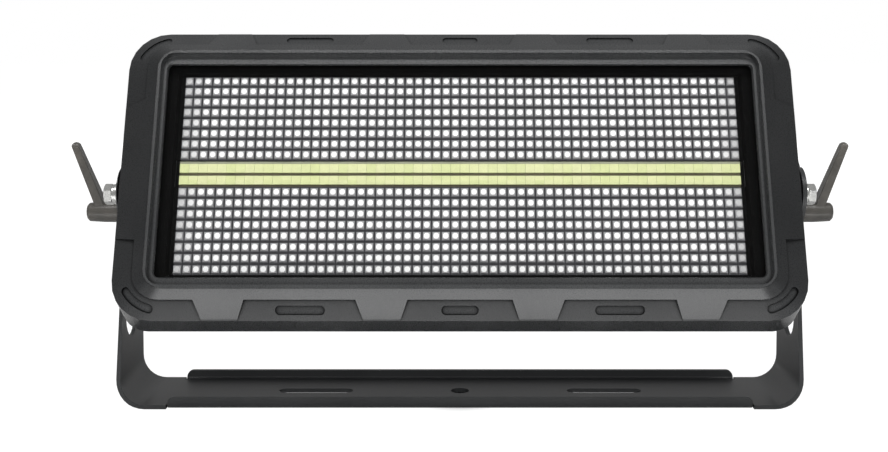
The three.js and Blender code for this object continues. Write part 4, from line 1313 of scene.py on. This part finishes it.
@dataclass
class Studio:
    """Pale floor, white surround, soft lamps and the photograph's camera.

    Attributes:
        focal: Focal length in pixels of a frame that is width pixels wide.
        width: Width of the frame in pixels.
        middle: Column of the frame that the camera's axis meets.
        sensor: Width of the camera's sensor in millimetres.
        pitch: How far the camera looks down, in degrees.
        distance: The camera's distance in front of the tilt axis, in metres.
        height: The camera's height, in metres.
        near: What is nearer to the camera than this, in metres, isn't seen.
        fill: Strength of the surround's light.
        gloss: Share of the white surround that gloss reflects.
        flagged: Part of that share which is left at either side.
        flag_span: Where the sides begin to darken and are darkest, on a direction's x.
        floor_half: Half of the floor's width in metres.
        floor_greys: Darkest and lightest tone of the floor.
        floor_cloud: Size of the floor's soft clouds in metres.
        glow: Strength of the floor's white glow to the eye.
        glow_share: Share of the glow in what the eye sees of the floor.
        shadow_patch_span: Where the painted shadow under the yoke's middle hole fades from full
        to none, in metres from the middle.
        shadow_patch_tone: Tone of that painted shadow.
        lamps: The lamps.
    """

    focal: float = 1292.0
    width: float = 888.0
    middle: float = 460.0
    sensor: float = 36.0
    pitch: float = 9.40
    distance: float = 0.894
    height: float = 0.2705
    near: float = 0.01
    fill: float = 0.13
    gloss: float = 0.35
    flagged: float = 0.42
    flag_span: Span = (0.45, 0.95)
    floor_half: float = 6.0
    floor_greys: Span = (0.80, 0.82)
    floor_cloud: float = 0.3
    glow: float = 1.3
    glow_share: float = 0.75
    shadow_patch_span: Span = (0.02, 0.04)
    shadow_patch_tone: float = 0.03
    lamps: tuple[Lamp, ...] = (
        Lamp("left_key", (-0.7, -1.9, 0.95), (0.6, 0.6), 17.0, mirrored=False),
        Lamp("right_key", (0.7, -1.9, 0.95), (0.6, 0.6), 17.0, mirrored=False),
        Lamp("floor_strip", (0.0, -0.25, 0.004), (0.8, 0.10), 1.0, (0.0, -0.25, 1.0)),
        Lamp("back_fill", (0.0, 1.9, 0.3), (1.4, 0.4), 16.0, mirrored=False),
        Lamp("overhead", (0.0, -0.55, 1.4), (1.4, 0.10), 14.0, (0.0, 0.0, 0.2)),
    )

    def camera(self) -> None:
        """Sets the camera where the photograph was taken."""
        lens = bpy.data.cameras.new("camera")
        lens.sensor_fit = "HORIZONTAL"
        lens.sensor_width = self.sensor
        lens.lens = self.focal / self.width * self.sensor
        lens.shift_x = (self.width / 2 - self.middle) / self.width
        lens.clip_start = self.near
        made = bpy.data.objects.new("camera", lens)
        made.location = (0.0, -self.distance, self.height)
        made.rotation_euler = (math.radians(90.0 - self.pitch), 0.0, 0.0)
        bpy.context.scene.collection.objects.link(made)
        bpy.context.scene.camera = made

    def surround(self) -> None:
        """Makes a world that is white to the eye and a soft grey light to the lamp."""
        sheet = NodeSheet("surround", world=True)
        aside = sheet.combine("ABSOLUTE", sheet.axes("Generated")["X"])
        flag = sheet.spread(aside, self.gloss, self.gloss * self.flagged, self.flag_span)
        glossy = sheet.add("ShaderNodeLightPath").outputs["Is Glossy Ray"]
        share = sheet.combine("MULTIPLY_ADD", glossy, flag, sheet.seen())
        soft = sheet.white_light("ShaderNodeBackground", self.fill)
        bright = sheet.white_light("ShaderNodeBackground", 1.0)
        bpy.context.scene.world = sheet.close(sheet.blend(share, soft, bright))

    def floor_finish(self) -> bpy.types.Material:
        """Makes the floor's finish: matt to the light, and nearly white to the eye.

        Returns:
            The material.
        """
        sheet = NodeSheet("floor")
        centre = {0: sheet.coordinates.outputs["Object"]}
        away = sheet.add("ShaderNodeVectorMath", centre, operation="LENGTH").outputs["Value"]
        clouds = sheet.noise(self.floor_cloud, FEW_LAYERS)
        pale = sheet.ramp(clouds, *(grey(tone) for tone in self.floor_greys))
        # Painted shadow: the floor's colour darkens under the yoke's middle hole, where the glow
        # fades out too.
        shadowed = sheet.scale(pale, sheet.tones(away, self.shadow_patch_span, (self.shadow_patch_tone, 1.0)))
        matt = sheet.add("ShaderNodeBsdfDiffuse", {"Color": shadowed}).outputs[0]
        glow = sheet.white_light("ShaderNodeEmission", self.glow)
        clear = sheet.spread(away, 0.0, self.glow_share, self.shadow_patch_span)
        share = sheet.combine("MULTIPLY", sheet.seen(), clear)
        return sheet.close(sheet.blend(share, matt, glow))

    def floor(self) -> None:
        """Lays a pale floor that keeps a soft shadow."""
        half = self.floor_half
        corners = [(-half, -half, 0.0), (half, -half, 0.0), (half, half, 0.0), (-half, half, 0.0)]
        mesh = bpy.data.meshes.new("floor")
        mesh.from_pydata(corners, [], [(0, 1, 2, 3)])
        mesh.materials.append(self.floor_finish())
        made = bpy.data.objects.new("floor", mesh)
        bpy.context.scene.collection.objects.link(made)

    def build(self) -> None:
        """Makes the studio."""
        bpy.context.scene.view_settings.view_transform = "Standard"
        self.camera()
        self.surround()
        self.floor()
        for lamp in self.lamps:
            lamp.build()


def main() -> None:
    """Loads the frame, dresses it, and sets up the studio."""
    logging.basicConfig(level=logging.INFO, format="%(name)s %(message)s")
    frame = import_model()
    palette = Palette()
    slots = {part["node"]: part["material_slot"] for part in frame["record"]["subparts"]}
    Studio().build()
    EmitterField(palette).build()
    Fasteners(palette).build()
    SolidDresser(palette, frame["nodes"], slots).build()


if __name__ == "__main__":
    main()
